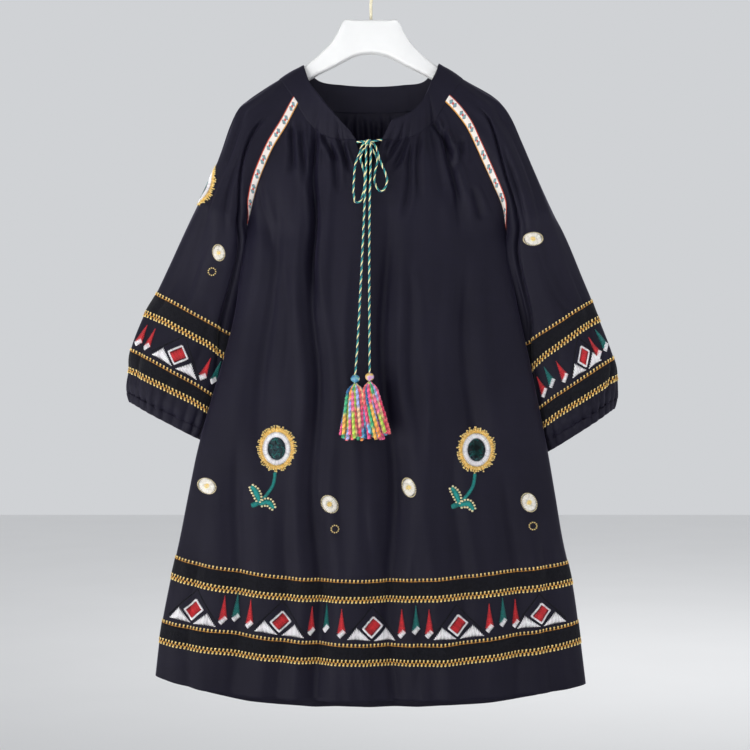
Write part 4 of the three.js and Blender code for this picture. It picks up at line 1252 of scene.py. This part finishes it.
def cuff_shape(side, v, t):
    """A tube between the sleeve's last section and the cuff's own edge, whose sections are worked
    out as a sleeve's are."""
    key = side[0]
    seam = {name: column[-1] for name, column in (*SLEEVE.items(), *INNER.items())}
    angle = v * np.pi
    share = (1 - np.cos(angle)) / 2
    ends = []
    for edge, drop in ((seam, CUFF_DROP), (CUFF_HEM, 0)):
        outer_x, outer_z, inner_z = SIGN[side] * edge[key + "x"], edge[key + "z"], edge[key + "i"]
        inner_x = SIGN[side] * (through(-EDGE["z"], EDGE[side], -inner_z) - edge["tuck"])
        x = outer_x + (inner_x - outer_x) * share
        z = outer_z + (inner_z - outer_z) * share - drop
        ends.append(np.stack([x, INNER["behind"][-1] + edge["deep"] * np.sin(angle), z], axis=-1))
    return ends[0] + (ends[1] - ends[0]) * t[..., None]


def cuff_height(v, t, base):
    """The sleeve's pleats run on over the cuff, shallower towards its edge."""
    return GATHER * cuff_pleats(v, CUFF_ROW) * (1 - 0.6 * t) + 0.5 * fade(t, 0, 1, 0.3)


cuff_rows = np.linspace(0, 1, 13)
all_round = np.ones(len(cuff_rows), bool)
cuffs = {
    side: Cloth(partial(cuff_shape, side), cuff_height, sleeve_v, cuff_rows, SIGN[side], all_round)
    for side in SIGN
}

# The neck seam from the slit's left edge round to its right one: its points, and their shares of
# the way, where each half of the front counts 1, each sleeve 1 and the back 2.
left_front, right_front = slice(0, FRONT_HALF + 1), slice(FRONT_HALF + 1, None)
neck = np.concatenate([
    front.points[0, left_front][::-1],
    sleeves["left"].points[0],
    back.points[0],
    sleeves["right"].points[0][::-1],
    front.points[0, right_front][::-1],
])
neck_at = np.concatenate([
    -front_u[left_front][::-1],
    1.002 + (sleeve_v + 1) * 0.498,
    3.0 + back_u * 0.998,
    4.002 + (sleeve_v + 1) * 0.498,
    6 - front_u[right_front][::-1],
])


def collar_shape(at, t):
    """Straight lines from a little below the neck seam to the free edge."""
    seam = np.stack([np.interp(at, neck_at, column) for column in neck.T], axis=-1)
    edge = np.stack([through(COLLAR["at"], COLLAR[c], at) for c in "xyz"], axis=-1)
    return seam + (edge - seam) * (1.06 * t[..., None] - 0.06)


def collar_height(at, t, base):
    """The band bows outwards, with fine waves and a thicker free edge."""
    return 1.3 * np.sin(np.pi * t) + 0.35 * ripple(at * 6, t * 2, 4.0) + 0.5 * fade(t, 0.8, 2, 0.12)


collar = Cloth(collar_shape, collar_height, np.linspace(0, 6, 301), np.linspace(0, 1, 15), 1)


def strip(cloth, rows_at, offsets, start, lift):
    """Part of a sleeve beside its front seam: columns at set distances from it, measured round
    the section, as a panel of its own."""
    fine = np.linspace(start, 0, 240)
    across, down = np.meshgrid(fine, rows_at)
    line = cloth.at(across, down)
    far = np.cumsum(np.linalg.norm(np.diff(line, axis=1), axis=2), axis=1)
    far = np.concatenate([np.zeros((len(rows_at), 1)), far], axis=1)
    v = np.stack([np.interp(wide, row, fine) for wide, row in zip(offsets, far)])
    points = cloth.at(v, np.repeat(rows_at[:, None], offsets.shape[1], axis=1), lift)
    return Cloth.__new__(Cloth).hold(points, cloth.facing)


TRIM_EDGE = 0.4  # from the seam
TRIM_WIDE = 11.4
TRIM_TAPER = 6.9  # row from which the ribbon narrows
TRIM_END = 7.98
TRIM_COLUMNS = 9


def banded(cloth, name, node, lines):
    """The black stitched bands of a panel, from comb to zigzag."""
    made = []
    for key, comb_line, zigzag_line in (("upper", *lines[:2]), ("lower", *lines[2:])):
        part = cloth.between(comb_line, zigzag_line, 12)
        band = wall_piece(name.format(key), part, GROUND_FINISH, 0.8, 0.1)
        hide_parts(node.format(key))
        made.append(band)
    return made


def trimmed(side):
    """The raglan ribbon of one side, with its run for the woven pattern."""
    down = np.linspace(0, TRIM_END, 111)
    share = np.linspace(0, 1, TRIM_COLUMNS)
    narrow = 1 - 0.9 * np.clip((down - TRIM_TAPER) / (TRIM_END - TRIM_TAPER), 0, 1) ** 1.3
    ribbon = strip(sleeves[side], down, TRIM_EDGE + TRIM_WIDE * narrow[:, None] * share, -1, 0.2)
    ids = np.arange(len(down) * TRIM_COLUMNS).reshape(len(down), TRIM_COLUMNS)
    swell = 0.9 - 0.35 * np.abs(2 * share - 1) ** 3
    points = np.stack([ribbon.points + ribbon.normals * swell[:, None], ribbon.points])
    across, along = np.meshgrid(1 - share, lengths(ribbon.points[:, 0]) * METRES)
    uv = np.stack([across, along], axis=-1)
    faces = closed_wall(grid_faces(ids, ribbon.facing), ids.size)
    made = piece("raglan_ribbon_" + side, points, faces, RIBBON_FINISH, np.stack([uv, uv]))
    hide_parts("raglan_trim_" + side)
    return made


front_cloth = wall_piece("front_cloth", front, CLOTH_FINISH, keep=open_slit)
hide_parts("front_panel")
banded(front, "hem_ground_{}_front", "hem_band_{}_front", HEM_LINES)
back_cloth = wall_piece("back_cloth", back, CLOTH_FINISH)
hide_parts("back_panel")
banded(back, "hem_ground_{}_back", "hem_band_{}_back", HEM_LINES)
for side in SIGN:
    made = wall_piece("sleeve_cloth_" + side, sleeves[side], CLOTH_FINISH)
    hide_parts("sleeve_" + side)
    bands = banded(sleeves[side], "sleeve_ground_{}_" + side, "sleeve_band_{}_" + side, SLEEVE_LINES)
    trimmed(side)
    made = wall_piece("cuff_cloth_" + side, cuffs[side], CLOTH_FINISH, outside=0.4, inside=-1.1)
    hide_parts("cuff_" + side)
collar_band = wall_piece("collar_cloth", collar, CLOTH_FINISH, outside=0.5, inside=-1.3)
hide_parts("collar")

# ---- hanger ------------------------------------------------------------------------------------

WIRE = 4.0
HOOK_CENTRE = 56
HOOK_RADIUS = 21
NO_TWIST = 1e6  # a pitch so long that nothing turns
RING_SIDES = 40
TIP_SHARES = np.array([0.3, 0.6, 0.85, 1.0])  # of the way out over the tips' round ends


def hanger_section(x, top, low, half, corner):
    """Sections across the hanger's length: rectangles with round corners."""
    turn = (np.arange(RING_SIDES) + 0.5) * 2 * np.pi / RING_SIDES
    y = np.sign(np.cos(turn)) * (half - corner)[:, None] + corner[:, None] * np.cos(turn)
    middle = (top + low) / 2
    tall = (top - low) / 2
    straight = np.sign(np.sin(turn)) * (tall - corner)[:, None]
    z = middle[:, None] + straight + corner[:, None] * np.sin(turn)
    return np.stack([np.repeat(x[:, None], RING_SIDES, axis=1), y, z], axis=-1)


def hanger_rings():
    """The hanger from tip to tip, its outline from the table. A tip's sections shrink as
    sqrt(1 - share ** 2) and sink a little, and the left half mirrors the right."""
    x = np.concatenate([np.linspace(0, 34, 12), np.linspace(35, 60, 26), np.linspace(62, 168, 54)])
    top, low, half, corner = (through(HANGER["x"], HANGER[c], x) for c in "top low half round".split())
    shrink = np.sqrt(1 - TIP_SHARES**2 * 0.98)
    middle, tall, sink = (top[-1] + low[-1]) / 2, (top[-1] - low[-1]) / 2, TIP_SHARES * 1.2
    right = [
        np.append(x, x[-1] + TIP_SHARES * 2.5),
        np.append(top, middle + tall * shrink - sink),
        np.append(low, middle - tall * shrink - sink),
        np.append(half, half[-1] * shrink),
        np.append(corner, corner[-1] * shrink),
    ]
    whole = [np.append(values[::-1], values[1:]) for values in right]
    whole[0][:len(right[0]) - 1] *= -1
    return hanger_section(*whole)


rings = hanger_rings()
hanger = piece("hanger_moulding", rings, tube_faces(len(rings), RING_SIDES, -1), moulded_hanger())
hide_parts("hanger_body")


def hook_wire():
    """The hook: a stem and an arc of round wire whose end is closed by half a ball, its radius
    sqrt(1 - (1 - c) ** 2) of the wire's, where c is the way left in half widths."""
    turn = np.radians(np.arange(-50, 201, 4))
    height = HOOK_CENTRE + HOOK_RADIUS * np.sin(turn)
    arc = np.stack([HOOK_RADIUS * np.cos(turn), 0 * turn, height], axis=1)
    path = spline([(0, 0, -6), (0, 0, 4), (0, 0, 14), (0, 0, 24), (2.5, 0, 32), *arc], 1.2)
    gone = lengths(path)
    cap = np.clip((gone[-1] - gone) / (WIRE / 2), 0, 1)
    radius = WIRE / 2 * np.sqrt(1 - (1 - cap) ** 2 * 0.97)
    points, faces, *_ = rope(path, radius, 1, 20, NO_TWIST, 0)
    return piece("hook_wire", points, faces, painted_wire())


hook = hook_wire()
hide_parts("hanger_hook")

# ---- embroidery --------------------------------------------------------------------------------

GOLD = np.array([0.80, 0.49, 0.10])
PALE_GOLD = np.array([1.0, 0.76, 0.30])
ORANGE = np.array([0.46, 0.20, 0.03])
WHITE = np.array([0.96, 0.93, 0.95])
RED = np.array([0.66, 0.026, 0.036])
TEAL = np.array([0.006, 0.185, 0.170])
DARK_TEAL = np.array([0.008, 0.085, 0.11])
CREAM = np.array([0.84, 0.72, 0.42])
BLACK = np.array([0.006, 0.006, 0.008])
PETAL = np.array([0.95, 0.90, 0.82])
COMB_PITCH = 5.35
ZIGZAG_PITCH = 5.3

# A stitch before it is placed: eight points at its foot, eight at its shoulder and two on its
# ridge, as (along, across, height), each from -1 to 1.
ring = np.arange(8) * np.pi / 4
STITCH = np.concatenate([
    np.stack([np.cos(ring), np.sin(ring), 0 * ring - 0.35], axis=1),
    np.stack([0.86 * np.cos(ring), 0.72 * np.sin(ring), 0 * ring + 0.66], axis=1),
    [[0.55, 0, 1.0], [-0.55, 0, 1.0]],
])
STITCH_QUADS = np.array([[k, (k + 1) % 8, 8 + (k + 1) % 8, 8 + k] for k in range(8)])
STITCH_TOPS = np.array([
    [15, 8, 16], [8, 9, 16], [9, 10, 16], [10, 17, 16], [10, 11, 17], [11, 12, 17], [12, 13, 17],
    [13, 14, 17], [14, 16, 17], [14, 15, 16],
])
STITCH_FOOT = np.arange(8)[::-1][None]


class Stitches:
    """Raised stitches gathered for one piece, each placed on a panel by its own place()."""

    def __init__(self, facing):
        self.facing, self.parts = facing, []

    def add(self, place, centres, angle, length, width, height, tint, run=None):
        """Stitches at centres (along, up): half length along the angle, half width across it, and
        the height of its ridge, each a number or one for each stitch."""
        centres = np.atleast_2d(np.asarray(centres, float))
        n = len(centres)
        angle, length, width, height = (np.broadcast_to(np.asarray(a, float), n)[:, None]
                                        for a in (angle, length, width, height))
        a = STITCH[:, 0] * length
        b = STITCH[:, 1] * width
        q = np.stack([
            centres[:, :1] + a * np.cos(angle) - b * np.sin(angle),
            centres[:, 1:] + a * np.sin(angle) + b * np.cos(angle),
        ], axis=-1)
        points = place(q, STITCH[:, 2] * height)
        tint = np.broadcast_to(np.asarray(tint, float), (n, 3)) if np.ndim(tint) < 2 else tint
        faces = [(group + (np.arange(n) * 18)[:, None, None]).reshape(-1, group.shape[1])
                 for group in (STITCH_QUADS, STITCH_TOPS, STITCH_FOOT)]
        if self.facing * self.turned(place) < 0:
            faces = [group[:, ::-1] for group in faces]
        uv = np.stack([b + 0 * a, a], axis=-1) * 0.001
        self.parts.append((points.reshape(-1, 3), faces, np.repeat(tint, 18, axis=0), uv.reshape(-1, 2)))

    def turned(self, place):
        """1 where along, up and the lift make a right-handed turn, else -1."""
        q = np.array([[0.0, 0.0], [1.0, 0.0], [0.0, 1.0]])
        low = place(q, np.zeros(3))
        up = place(q[:1], np.ones(1))[0] - low[0]
        return np.sign(np.dot(np.cross(low[1] - low[0], low[2] - low[0]), up)) * self.facing

    def made(self, name, finish=None):
        points, faces, tint, uv = joined(self.parts)
        return piece(name, points, faces, finish or THREAD_FINISH, uv, tint)


def in_frame(points):
    """Where points show in the camera's 750 pixel frame."""
    near = CAMERA_BACK / (CAMERA_BACK + points[..., 1]) / PHOTO_MM
    across = 375 + (points[..., 0] - CAMERA_X) * near
    return np.stack([across, 375 - (points[..., 2] - HOOK_RISE - CAMERA_Z) * near], axis=-1)


def here(cloth, px, py):
    """Place for shapes measured in the frame about a point of it, in millimetres of the picture
    plane: Newton's steps from the nearest grid point find the column and row of each."""
    shown = in_frame(cloth.points)
    off = np.hypot(shown[..., 0] - px, shown[..., 1] - py) + np.where(cloth.normals[..., 1] < -0.05, 0, 1e6)
    i, j = np.unravel_index(np.argmin(off), off.shape)

    def place(q, lift):
        u = np.full(q.shape[:-1], cloth.u[j], float)
        t = np.full(q.shape[:-1], cloth.t[i], float)
        goal = np.stack([px + q[..., 0] / PHOTO_MM, py - q[..., 1] / PHOTO_MM], axis=-1)
        for _ in range(14):
            now = in_frame(cloth.at(u, t))
            du = (in_frame(cloth.at(u + 0.02, t)) - now) / 0.02
            dt = (in_frame(cloth.at(u, t + 0.15)) - now) / 0.15
            off = goal - now
            turn = du[..., 0] * dt[..., 1] - du[..., 1] * dt[..., 0]
            u = u + 0.8 * (off[..., 0] * dt[..., 1] - off[..., 1] * dt[..., 0]) / turn
            t = t + 0.8 * (du[..., 0] * off[..., 1] - du[..., 1] * off[..., 0]) / turn
        return cloth.at(u, t, lift)

    return place


def seen_at(place, low, high, px, up):
    """Distance along a line at which the point so far above it shows at a column of the frame."""
    s = np.linspace(low, high, 600)
    shown = in_frame(place(np.stack([s, 0 * s + up], axis=1), 0 * s))[:, 0]
    return np.interp(px, np.maximum.accumulate(shown), s)


def hatch(corners, angle, pitch, inset=0.0):
    """Bars that fill a polygon: each bar's centre and half length, side by side at a pitch, along
    an angle. A bar goes from the polygon's first edge that its middle line meets to the last."""
    corners = np.asarray(corners, float)
    turn = np.array([[math.cos(angle), math.sin(angle)], [-math.sin(angle), math.cos(angle)]])
    local = corners @ turn.T
    low, high = local[:, 1].min() + inset, local[:, 1].max() - inset
    count = max(1, int(round((high - low) / pitch)))
    lines = low + (np.arange(count) + 0.5) * (high - low) / count
    after = np.roll(local, -1, axis=0)
    with np.errstate(divide="ignore", invalid="ignore"):
        f = (lines[:, None] - local[:, 1]) / (after[:, 1] - local[:, 1])
    met = (f >= 0) & (f <= 1)
    at = local[:, 0] + (after[:, 0] - local[:, 0]) * np.where(met, f, 0)
    first = np.where(met, at, np.inf).min(axis=1)
    last = np.where(met, at, -np.inf).max(axis=1)
    centres = np.stack([(first + last) / 2, lines], axis=1) @ turn
    return centres, np.maximum((last - first) / 2 - inset, 0.25), (high - low) / count


def fill(stitches, place, corners, angle, pitch, height, tint, jitter=0.0, inset=0.0):
    centres, half, step = hatch(corners, angle, pitch, inset)
    wander = np.random.default_rng(len(stitches.parts)).normal(0, 1, len(half))
    shade = 1 + 0.10 * wander[:, None]
    stitches.add(place, centres, angle, half * (1 + jitter * wander) + 0.2, step * 0.56, height,
                 np.clip(np.asarray(tint) * shade, 0, 1))


def bars(stitches, place, path, widths, pitch, height, tint, lean=0.0, seed=0, jitter=0.0):
    """Satin bars across a path, with a half width for each of the path's points."""
    path = np.asarray(path, float)
    gone = np.append(0, np.cumsum(np.linalg.norm(np.diff(path, axis=0), axis=1)))
    count = max(2, int(round(gone[-1] / pitch)))
    even = (np.arange(count) + 0.5) * gone[-1] / count
    centres = np.stack([np.interp(even, gone, path[:, k]) for k in range(2)], axis=1)
    way = np.stack([np.interp(even, gone, np.gradient(path[:, k])) for k in range(2)], axis=1)
    half = np.interp(even, gone, np.broadcast_to(widths, gone.shape))
    wander = np.random.default_rng(seed).normal(0, 1, (count, 2))
    angle = np.arctan2(way[:, 1], way[:, 0]) + math.pi / 2 + lean
    colour = np.clip(np.asarray(tint) * (1 + 0.10 * wander[:, :1]), 0, 1)
    half = half * (1 + jitter * wander[:, 1])
    stitches.add(place, centres, angle, half, gone[-1] / count * 0.56, height, colour)


def comb(stitches, place):
    """A gold line with small teeth that stand on it, each with a lighter round tip."""
    count = int((place.high - place.low) // COMB_PITCH)
    step = (place.high - place.low) / count
    s = place.low + (np.arange(count) + 0.5) * step
    wander = np.random.default_rng(count).normal(0, 1, (count, 2))
    stitches.add(place, np.stack([s, 0 * s], 1), 0, step * 0.54, 0.8, 0.9, ORANGE * 1.3)
    tooth = np.stack([s, 2.0 + 0.12 * wander[:, 0]], 1)
    stitches.add(place, tooth, math.pi / 2 + 0.1 * wander[:, 1], 1.7, 1.2, 1.2, GOLD)
    stitches.add(place, np.stack([s + 0.2, 0 * s + 3.4], 1), 0, 1.4, 1.2, 1.5, PALE_GOLD)


def zigzag(stitches, place):
    """Two rows of slanted gold bars half a step apart, with a darker core where they meet."""
    count = int((place.high - place.low) // ZIGZAG_PITCH)
    step = (place.high - place.low) / count
    s = place.low + np.arange(count) * step + step * 0.25
    wander = np.random.default_rng(count + 7).normal(0, 1, (count, 4))
    for k, (shift, sign) in enumerate(((0, 1), (step / 2, -1))):
        centre = np.stack([s + shift, 0 * s + sign * 2.1], 1)
        stitches.add(place, centre, math.pi / 2 - 0.2 + 0.07 * wander[:, k], 2.3, 1.45, 1.2, GOLD)
        tip = np.stack([s + shift + 0.4 * sign, 0 * s + sign * 3.5], 1)
        stitches.add(place, tip, 0, 1.5, 1.3, 1.5, PALE_GOLD)
        core = np.stack([s + shift + step / 4, 0 * s], 1)
        stitches.add(place, core, -sign * 0.75, 1.7, 0.8, 1.0, ORANGE * 1.3)


# Shapes of the motifs in their row's own frame, in pixels of PHOTO_MM about the diamond's centre
# or the carrot's foot.
DIAMOND = np.array([(1.1, 11.6), (12.2, 1.5), (-1.0, -11.4), (-12.1, -1.4)])
TRIANGLES = np.array([
    [(-25.8, -12.2), (-16.8, 0.5), (-2.5, -12.9)],
    [(2.0, -13.4), (15.8, -0.3), (26.2, -13.4)],
])
OUTLINE = np.array([(-28, -10), (0, 20.4), (27, -10)])
CARROT = np.array([(0, 24.4), (-4.9, 0.7), (4.9, 0.5)])
CARROT_FOOT = np.array([(-4.7, -0.9), (0.7, 4.9), (4.7, 1.2), (-1.0, -4.9)])
DIAMOND_UP = 19.2 * PHOTO_MM  # diamond's centre above the comb's line


def closed_line(corners, steps):
    """Even points along each side of a closed shape."""
    f = np.linspace(0, 1, steps, endpoint=False)[:, None]
    sides = [a + (b - a) * f for a, b in zip(corners, np.roll(corners, -1, axis=0))]
    return np.concatenate([*sides, corners[:1]])


def diamond_group(stitches, roofs, place, s, narrow=1.0):
    """A red diamond in a white satin frame between two white triangles with serrated edges, inside
    a thin dark outline. All of it can be narrower."""
    centre = np.array([s, DIAMOND_UP])
    size = np.array([narrow, 1]) * PHOTO_MM
    bars(roofs, place, centre + OUTLINE * size, 1.3, 1.6, 0.35, BLACK)
    fill(stitches, place, centre + DIAMOND * size * 0.76, -0.7, 1.15, 1.6, RED)
    bars(stitches, place, centre + closed_line(DIAMOND * 0.87, 8) * size, 1.65, 1.15, 1.8, WHITE)
    for shape in TRIANGLES:
        fill(stitches, place, centre + shape * size, math.pi / 2, 1.9, 1.3, WHITE)


def carrot(stitches, place, s, up, colour, lean=0.0, tall=1.0):
    """A long narrow triangle of colour over a small white lozenge."""
    centre = np.array([s, up])
    shape = centre + (CARROT * (1, tall) + [(lean, 0), (0, 0), (0, 0)]) * PHOTO_MM
    fill(stitches, place, shape, -0.1, 1.15, 1.3, colour)
    fill(stitches, place, centre + CARROT_FOOT * PHOTO_MM, -0.78, 1.15, 1.7, WHITE)


def oval(rx, rz, count=72, turn=0.0, centre=(0, 0)):
    a = np.linspace(0, 2 * np.pi, count + 1)
    x, z = rx * np.cos(a), rz * np.sin(a)
    cos, sin = math.cos(turn), math.sin(turn)
    return np.stack([x * cos - z * sin + centre[0], x * sin + z * cos + centre[1]], axis=1)


BRISTLES = 68


def flower_head(stitches, place, seed):
    """A gold ragged fringe tipped with beads, a white satin ring, and a dark centre of curls."""
    rng = np.random.default_rng(seed)
    mm = PHOTO_MM
    fill(stitches, place, oval(9.3 * mm, 11.9 * mm, 40), 0.4, 1.5, 0.5, DARK_TEAL * 0.4)
    curls = rng.uniform(-1, 1, (105, 2))
    curls = curls[np.hypot(curls[:, 0], curls[:, 1]) < 0.93] * (8.4 * mm, 11.1 * mm)
    shades = np.where(rng.random((len(curls), 1)) < 0.5, TEAL * 1.2, BLACK)
    stitches.add(place, curls, rng.uniform(0, math.pi, len(curls)), 2.0, 0.5, 1.5, shades)
    bars(stitches, place, oval(15.6 * mm, 18.6 * mm), 3.4, 1.5, 0.7, GOLD, seed=seed, jitter=0.1)
    bars(stitches, place, oval(11.6 * mm, 14.1 * mm), 4.3, 1.15, 1.5, WHITE, seed=seed, jitter=0.03)
    a = np.linspace(0, 2 * np.pi, BRISTLES + 1)[:-1] + rng.normal(0, 0.015, BRISTLES)
    reach = rng.uniform(0.88, 1.02, BRISTLES)
    inner = np.stack([14.2 * np.cos(a), 17.0 * np.sin(a)], axis=1) * mm
    outer = np.stack([19.3 * reach * np.cos(a), 23.0 * reach * np.sin(a)], axis=1) * mm
    way = outer - inner
    angle = np.arctan2(way[:, 1], way[:, 0])
    half = np.linalg.norm(way, axis=1) / 2
    shade = GOLD * rng.uniform(0.8, 1.15, (BRISTLES, 1))
    stitches.add(place, (inner + outer) / 2, angle, half, 0.95, 1.2, shade)
    beads = outer + rng.normal(0, 0.3, (BRISTLES, 2))
    stitches.add(place, beads, 0, 1.2, 1.1, 1.9, PALE_GOLD * rng.uniform(0.85, 1.0, (BRISTLES, 1)))
    between = inner + way * rng.uniform(0.25, 0.6, (BRISTLES, 1)) + rng.normal(0, 0.4, (BRISTLES, 2))
    shade = PALE_GOLD * rng.uniform(0.8, 1.0, (BRISTLES, 1))
    stitches.add(place, between, angle + 0.5, 1.5, 0.85, 1.6, shade)


def stem_and_leaves(stitches, place):
    """Satin stem with a round foot and two leaves edged with beads. Offsets are from the head's
    centre."""
    mm = PHOTO_MM
    stem = np.array([(-1.7, -23.8), (-2.2, -30), (-3.7, -36.3), (-8, -43.5), (-13.4, -50.1)]) * mm
    fine = spline(np.column_stack([stem, np.zeros(5)]), 0.8)[:, :2]
    bars(stitches, place, fine, 2.8, 1.1, 1.3, TEAL * 1.5, lean=0.25)
    foot = np.array([(-15.0, -52.0), (-19.6, -54.8), (-23.2, -56.4), (-25.2, -57.0)]) * mm
    bars(stitches, place, foot, (2.8, 4.2, 4.2, 3.0), 1.1, 1.4, TEAL * 1.5)
    for tip, bend, root, half in (
        ((-25.4, -37.3), (-20.2, -44.3), (-17.2, -53.5), 4.5),
        ((-2.6, -60.0), (-8.8, -53.4), (-17.2, -56.2), 4.3),
    ):
        line = spline(np.column_stack([np.array([tip, bend, root]) * mm, np.zeros(3)]), 0.8)[:, :2]
        f = np.linspace(0, 1, len(line))
        wide = half * np.sqrt(np.clip(np.sin(np.pi * np.clip(f * 0.93 + 0.05, 0, 1)), 0, 1))
        bars(stitches, place, line, wide, 1.1, 1.2, TEAL * 2.0, lean=0.15)
        way = np.gradient(line, axis=0)
        way = way / np.linalg.norm(way, axis=1, keepdims=True)
        across = np.stack([-way[:, 1], way[:, 0]], axis=1)
        for sign in (-1, 1):
            rim = line + across * ((wide + 0.7)[:, None] * sign)
            far = np.append(0, np.cumsum(np.linalg.norm(np.diff(rim, axis=0), axis=1)))
            even = np.arange(0.5, far[-1], 4.1)
            beads = np.stack([np.interp(even, far, rim[:, k]) for k in range(2)], axis=1)
            stitches.add(place, beads, 0, 1.75, 1.75, 1.9, CREAM)


def daisy(stitches, place, rx, rz, turn, seed):
    """A small oval flower: serrated gold rim, white satin petals, a gold centre."""
    rng = np.random.default_rng(seed)
    fill(stitches, place, oval(rx * 0.93, rz * 0.93, 30, turn), turn + 0.6, 1.3, 1.2, PETAL)
    petals = oval(rx * 0.64, rz * 0.64, 60, turn)
    bars(stitches, place, petals, min(rx, rz) * 0.32, 1.1, 1.4, PETAL, seed=seed, jitter=0.06)
    rim = oval(rx * 0.95, rz * 0.95, 34, turn)[:-1]
    angle = rng.uniform(0, 3, len(rim))
    shade = CREAM * rng.uniform(0.9, 1.15, (len(rim), 1))
    stitches.add(place, rim, angle, 0.95, 0.7, 1.2, shade)
    fill(stitches, place, oval(rx * 0.32, rz * 0.32, 20, turn), turn, 1.2, 1.6, PALE_GOLD * (0.95, 0.95, 0.7))
    curls = rng.uniform(-0.22, 0.22, (14, 2)) * (rx, rz)
    stitches.add(place, curls, rng.uniform(0, 3, 14), 0.95, 0.6, 2.0, PALE_GOLD)


def bead_ring(stitches, place):
    ring_of = oval(3.7 * PHOTO_MM, 3.7 * PHOTO_MM, 11)[:-1]
    stitches.add(place, ring_of, 0, 1.1, 1.1, 1.6, PALE_GOLD * 0.8)


SEWN = (comb, zigzag, comb, zigzag)
DIAMONDS_AT = (194.1, 280.7, 372.3, 457.6, 541.3)
CARROTS_AT = (
    (222.8, "red"), (235.9, "teal"), (249.4, "red"), (311.3, "red"), (326.3, "teal"), (341.4, "red"),
    (402, "red"), (416.1, "teal"), (429.4, "red"), (489.8, "red"), (503.3, "teal"), (515.7, "red"),
)
FOOT_UP = {"red": 12.5 * PHOTO_MM, "teal": 16.2 * PHOTO_MM}
SLEEVE_FOOT_UP = {"red": 12.0 * PHOTO_MM, "teal": 15.0 * PHOTO_MM}
YARN = {"red": RED, "teal": TEAL}


def mirrored(place):
    """The same place with its distances along turned round."""
    def turned(q, lift):
        return place(q * (-1, 1), lift)
    turned.low, turned.high = -place.high, -place.low
    return turned


def border(cloth, face):
    """The hem's border: combs, zigzags and the row of motifs between them, all across a panel."""
    edges, motifs, roofs = (Stitches(cloth.facing) for _ in range(3))
    for make, line in zip(SEWN, HEM_LINES):
        make(edges, cloth.along(*line))
    place = cloth.along(*HEM_LINES[2])
    for px in DIAMONDS_AT:
        diamond_group(motifs, roofs, place, seen_at(place, place.low, place.high, px, DIAMOND_UP))
    for px, colour in CARROTS_AT:
        up = FOOT_UP[colour]
        s = seen_at(place, place.low, place.high, px, up)
        carrot(motifs, place, s, up, YARN[colour], (px - 372) / 90)
    edges.made("gold_border_" + face)
    motifs.made("hem_motifs_" + face)
    roofs.made("hem_dark_lines_" + face, GROUND_FINISH)


# Motifs of a sleeve's border that show in front, by column of the frame, and those behind the
# outer line, by distance from it in millimetres.
SLEEVE_MOTIFS = {
    "left": (((138.4, "red"), (146.9, "red"), (178, ""), (202.7, "red"), (213.3, "teal")),
             ((-18, "teal"), (-36, "red"), (-78, ""), (-118, "red"))),
    "right": (((544.4, "red"), (552.1, "teal"), (565.1, "red"), (583.7, ""), (598.8, "red"), (605.7, "teal")),
              ((18, "red"), (52, ""), (92, "red"), (108, "teal"), (124, "red"))),
}


def sleeve_border(side):
    cloth = sleeves[side]
    edges, motifs, roofs = (Stitches(cloth.facing) for _ in range(3))
    for make, line in zip(SEWN, SLEEVE_LINES):
        make(edges, cloth.along(*line))
    place = cloth.along(*SLEEVE_LINES[2])
    if side == "left":
        place = mirrored(place)
    span = (2, place.high) if side == "left" else (place.low, -2)
    seen, behind = SLEEVE_MOTIFS[side]
    up = {**SLEEVE_FOOT_UP, "": DIAMOND_UP}
    motifs_at = [(seen_at(place, *span, px, up[kind]), kind) for px, kind in seen] + list(behind)
    for s, kind in motifs_at:
        if kind:
            carrot(motifs, place, s, up[kind], YARN[kind], 2.5 if side == "left" else -5.0, 0.84)
        else:
            diamond_group(motifs, roofs, place, s, 1 if side == "left" else 0.70)
    edges.made("gold_border_sleeve_" + side)
    motifs.made("sleeve_motifs_" + side)
    roofs.made("sleeve_dark_lines_" + side, GROUND_FINISH)


border(front, "front")
border(back, "back")
for side in SIGN:
    sleeve_border(side)

heads = Stitches(1)
for k, (px, py) in enumerate(((276.7, 448.6), (476.5, 449.9))):
    place = here(front, px, py)
    stem_and_leaves(heads, place)
    flower_head(heads, place, k)
heads.made("sunflowers_front")
small = Stitches(1)
for k, (px, py, rx, rz, turn) in enumerate((
    (207, 486, 10, 7.7, -0.5), (329.7, 504.2, 10, 7.7, -0.87), (409, 487.5, 10.4, 6.6, -1.2), (529, 502.5, 10.2, 7.6, -1.1),
)):
    daisy(small, here(front, px, py), rx * PHOTO_MM, rz * PHOTO_MM, turn, k)
for px, py in ((335, 529), (533, 526)):
    bead_ring(small, here(front, px, py))
small.made("daisies_front")
for side, flowers, rings_at in (
    ("left", ((218.7, 252.7, 8.6, 6.2, -1.35),), ((212, 271.6),)),
    ("right", ((533, 238.8, 10.2, 6.8, 0.05),), ()),
):
    some = Stitches(SIGN[side])
    for px, py, rx, rz, turn in flowers:
        daisy(some, here(sleeves[side], px, py), rx * PHOTO_MM, rz * PHOTO_MM, turn, 9)
    for px, py in rings_at:
        bead_ring(some, here(sleeves[side], px, py))
    if side == "left":
        place = sleeves[side].along(7.1)
        flower_head(some, lambda q, lift: place(q + (1, -12), lift), 5)
    some.made("sleeve_flowers_" + side)
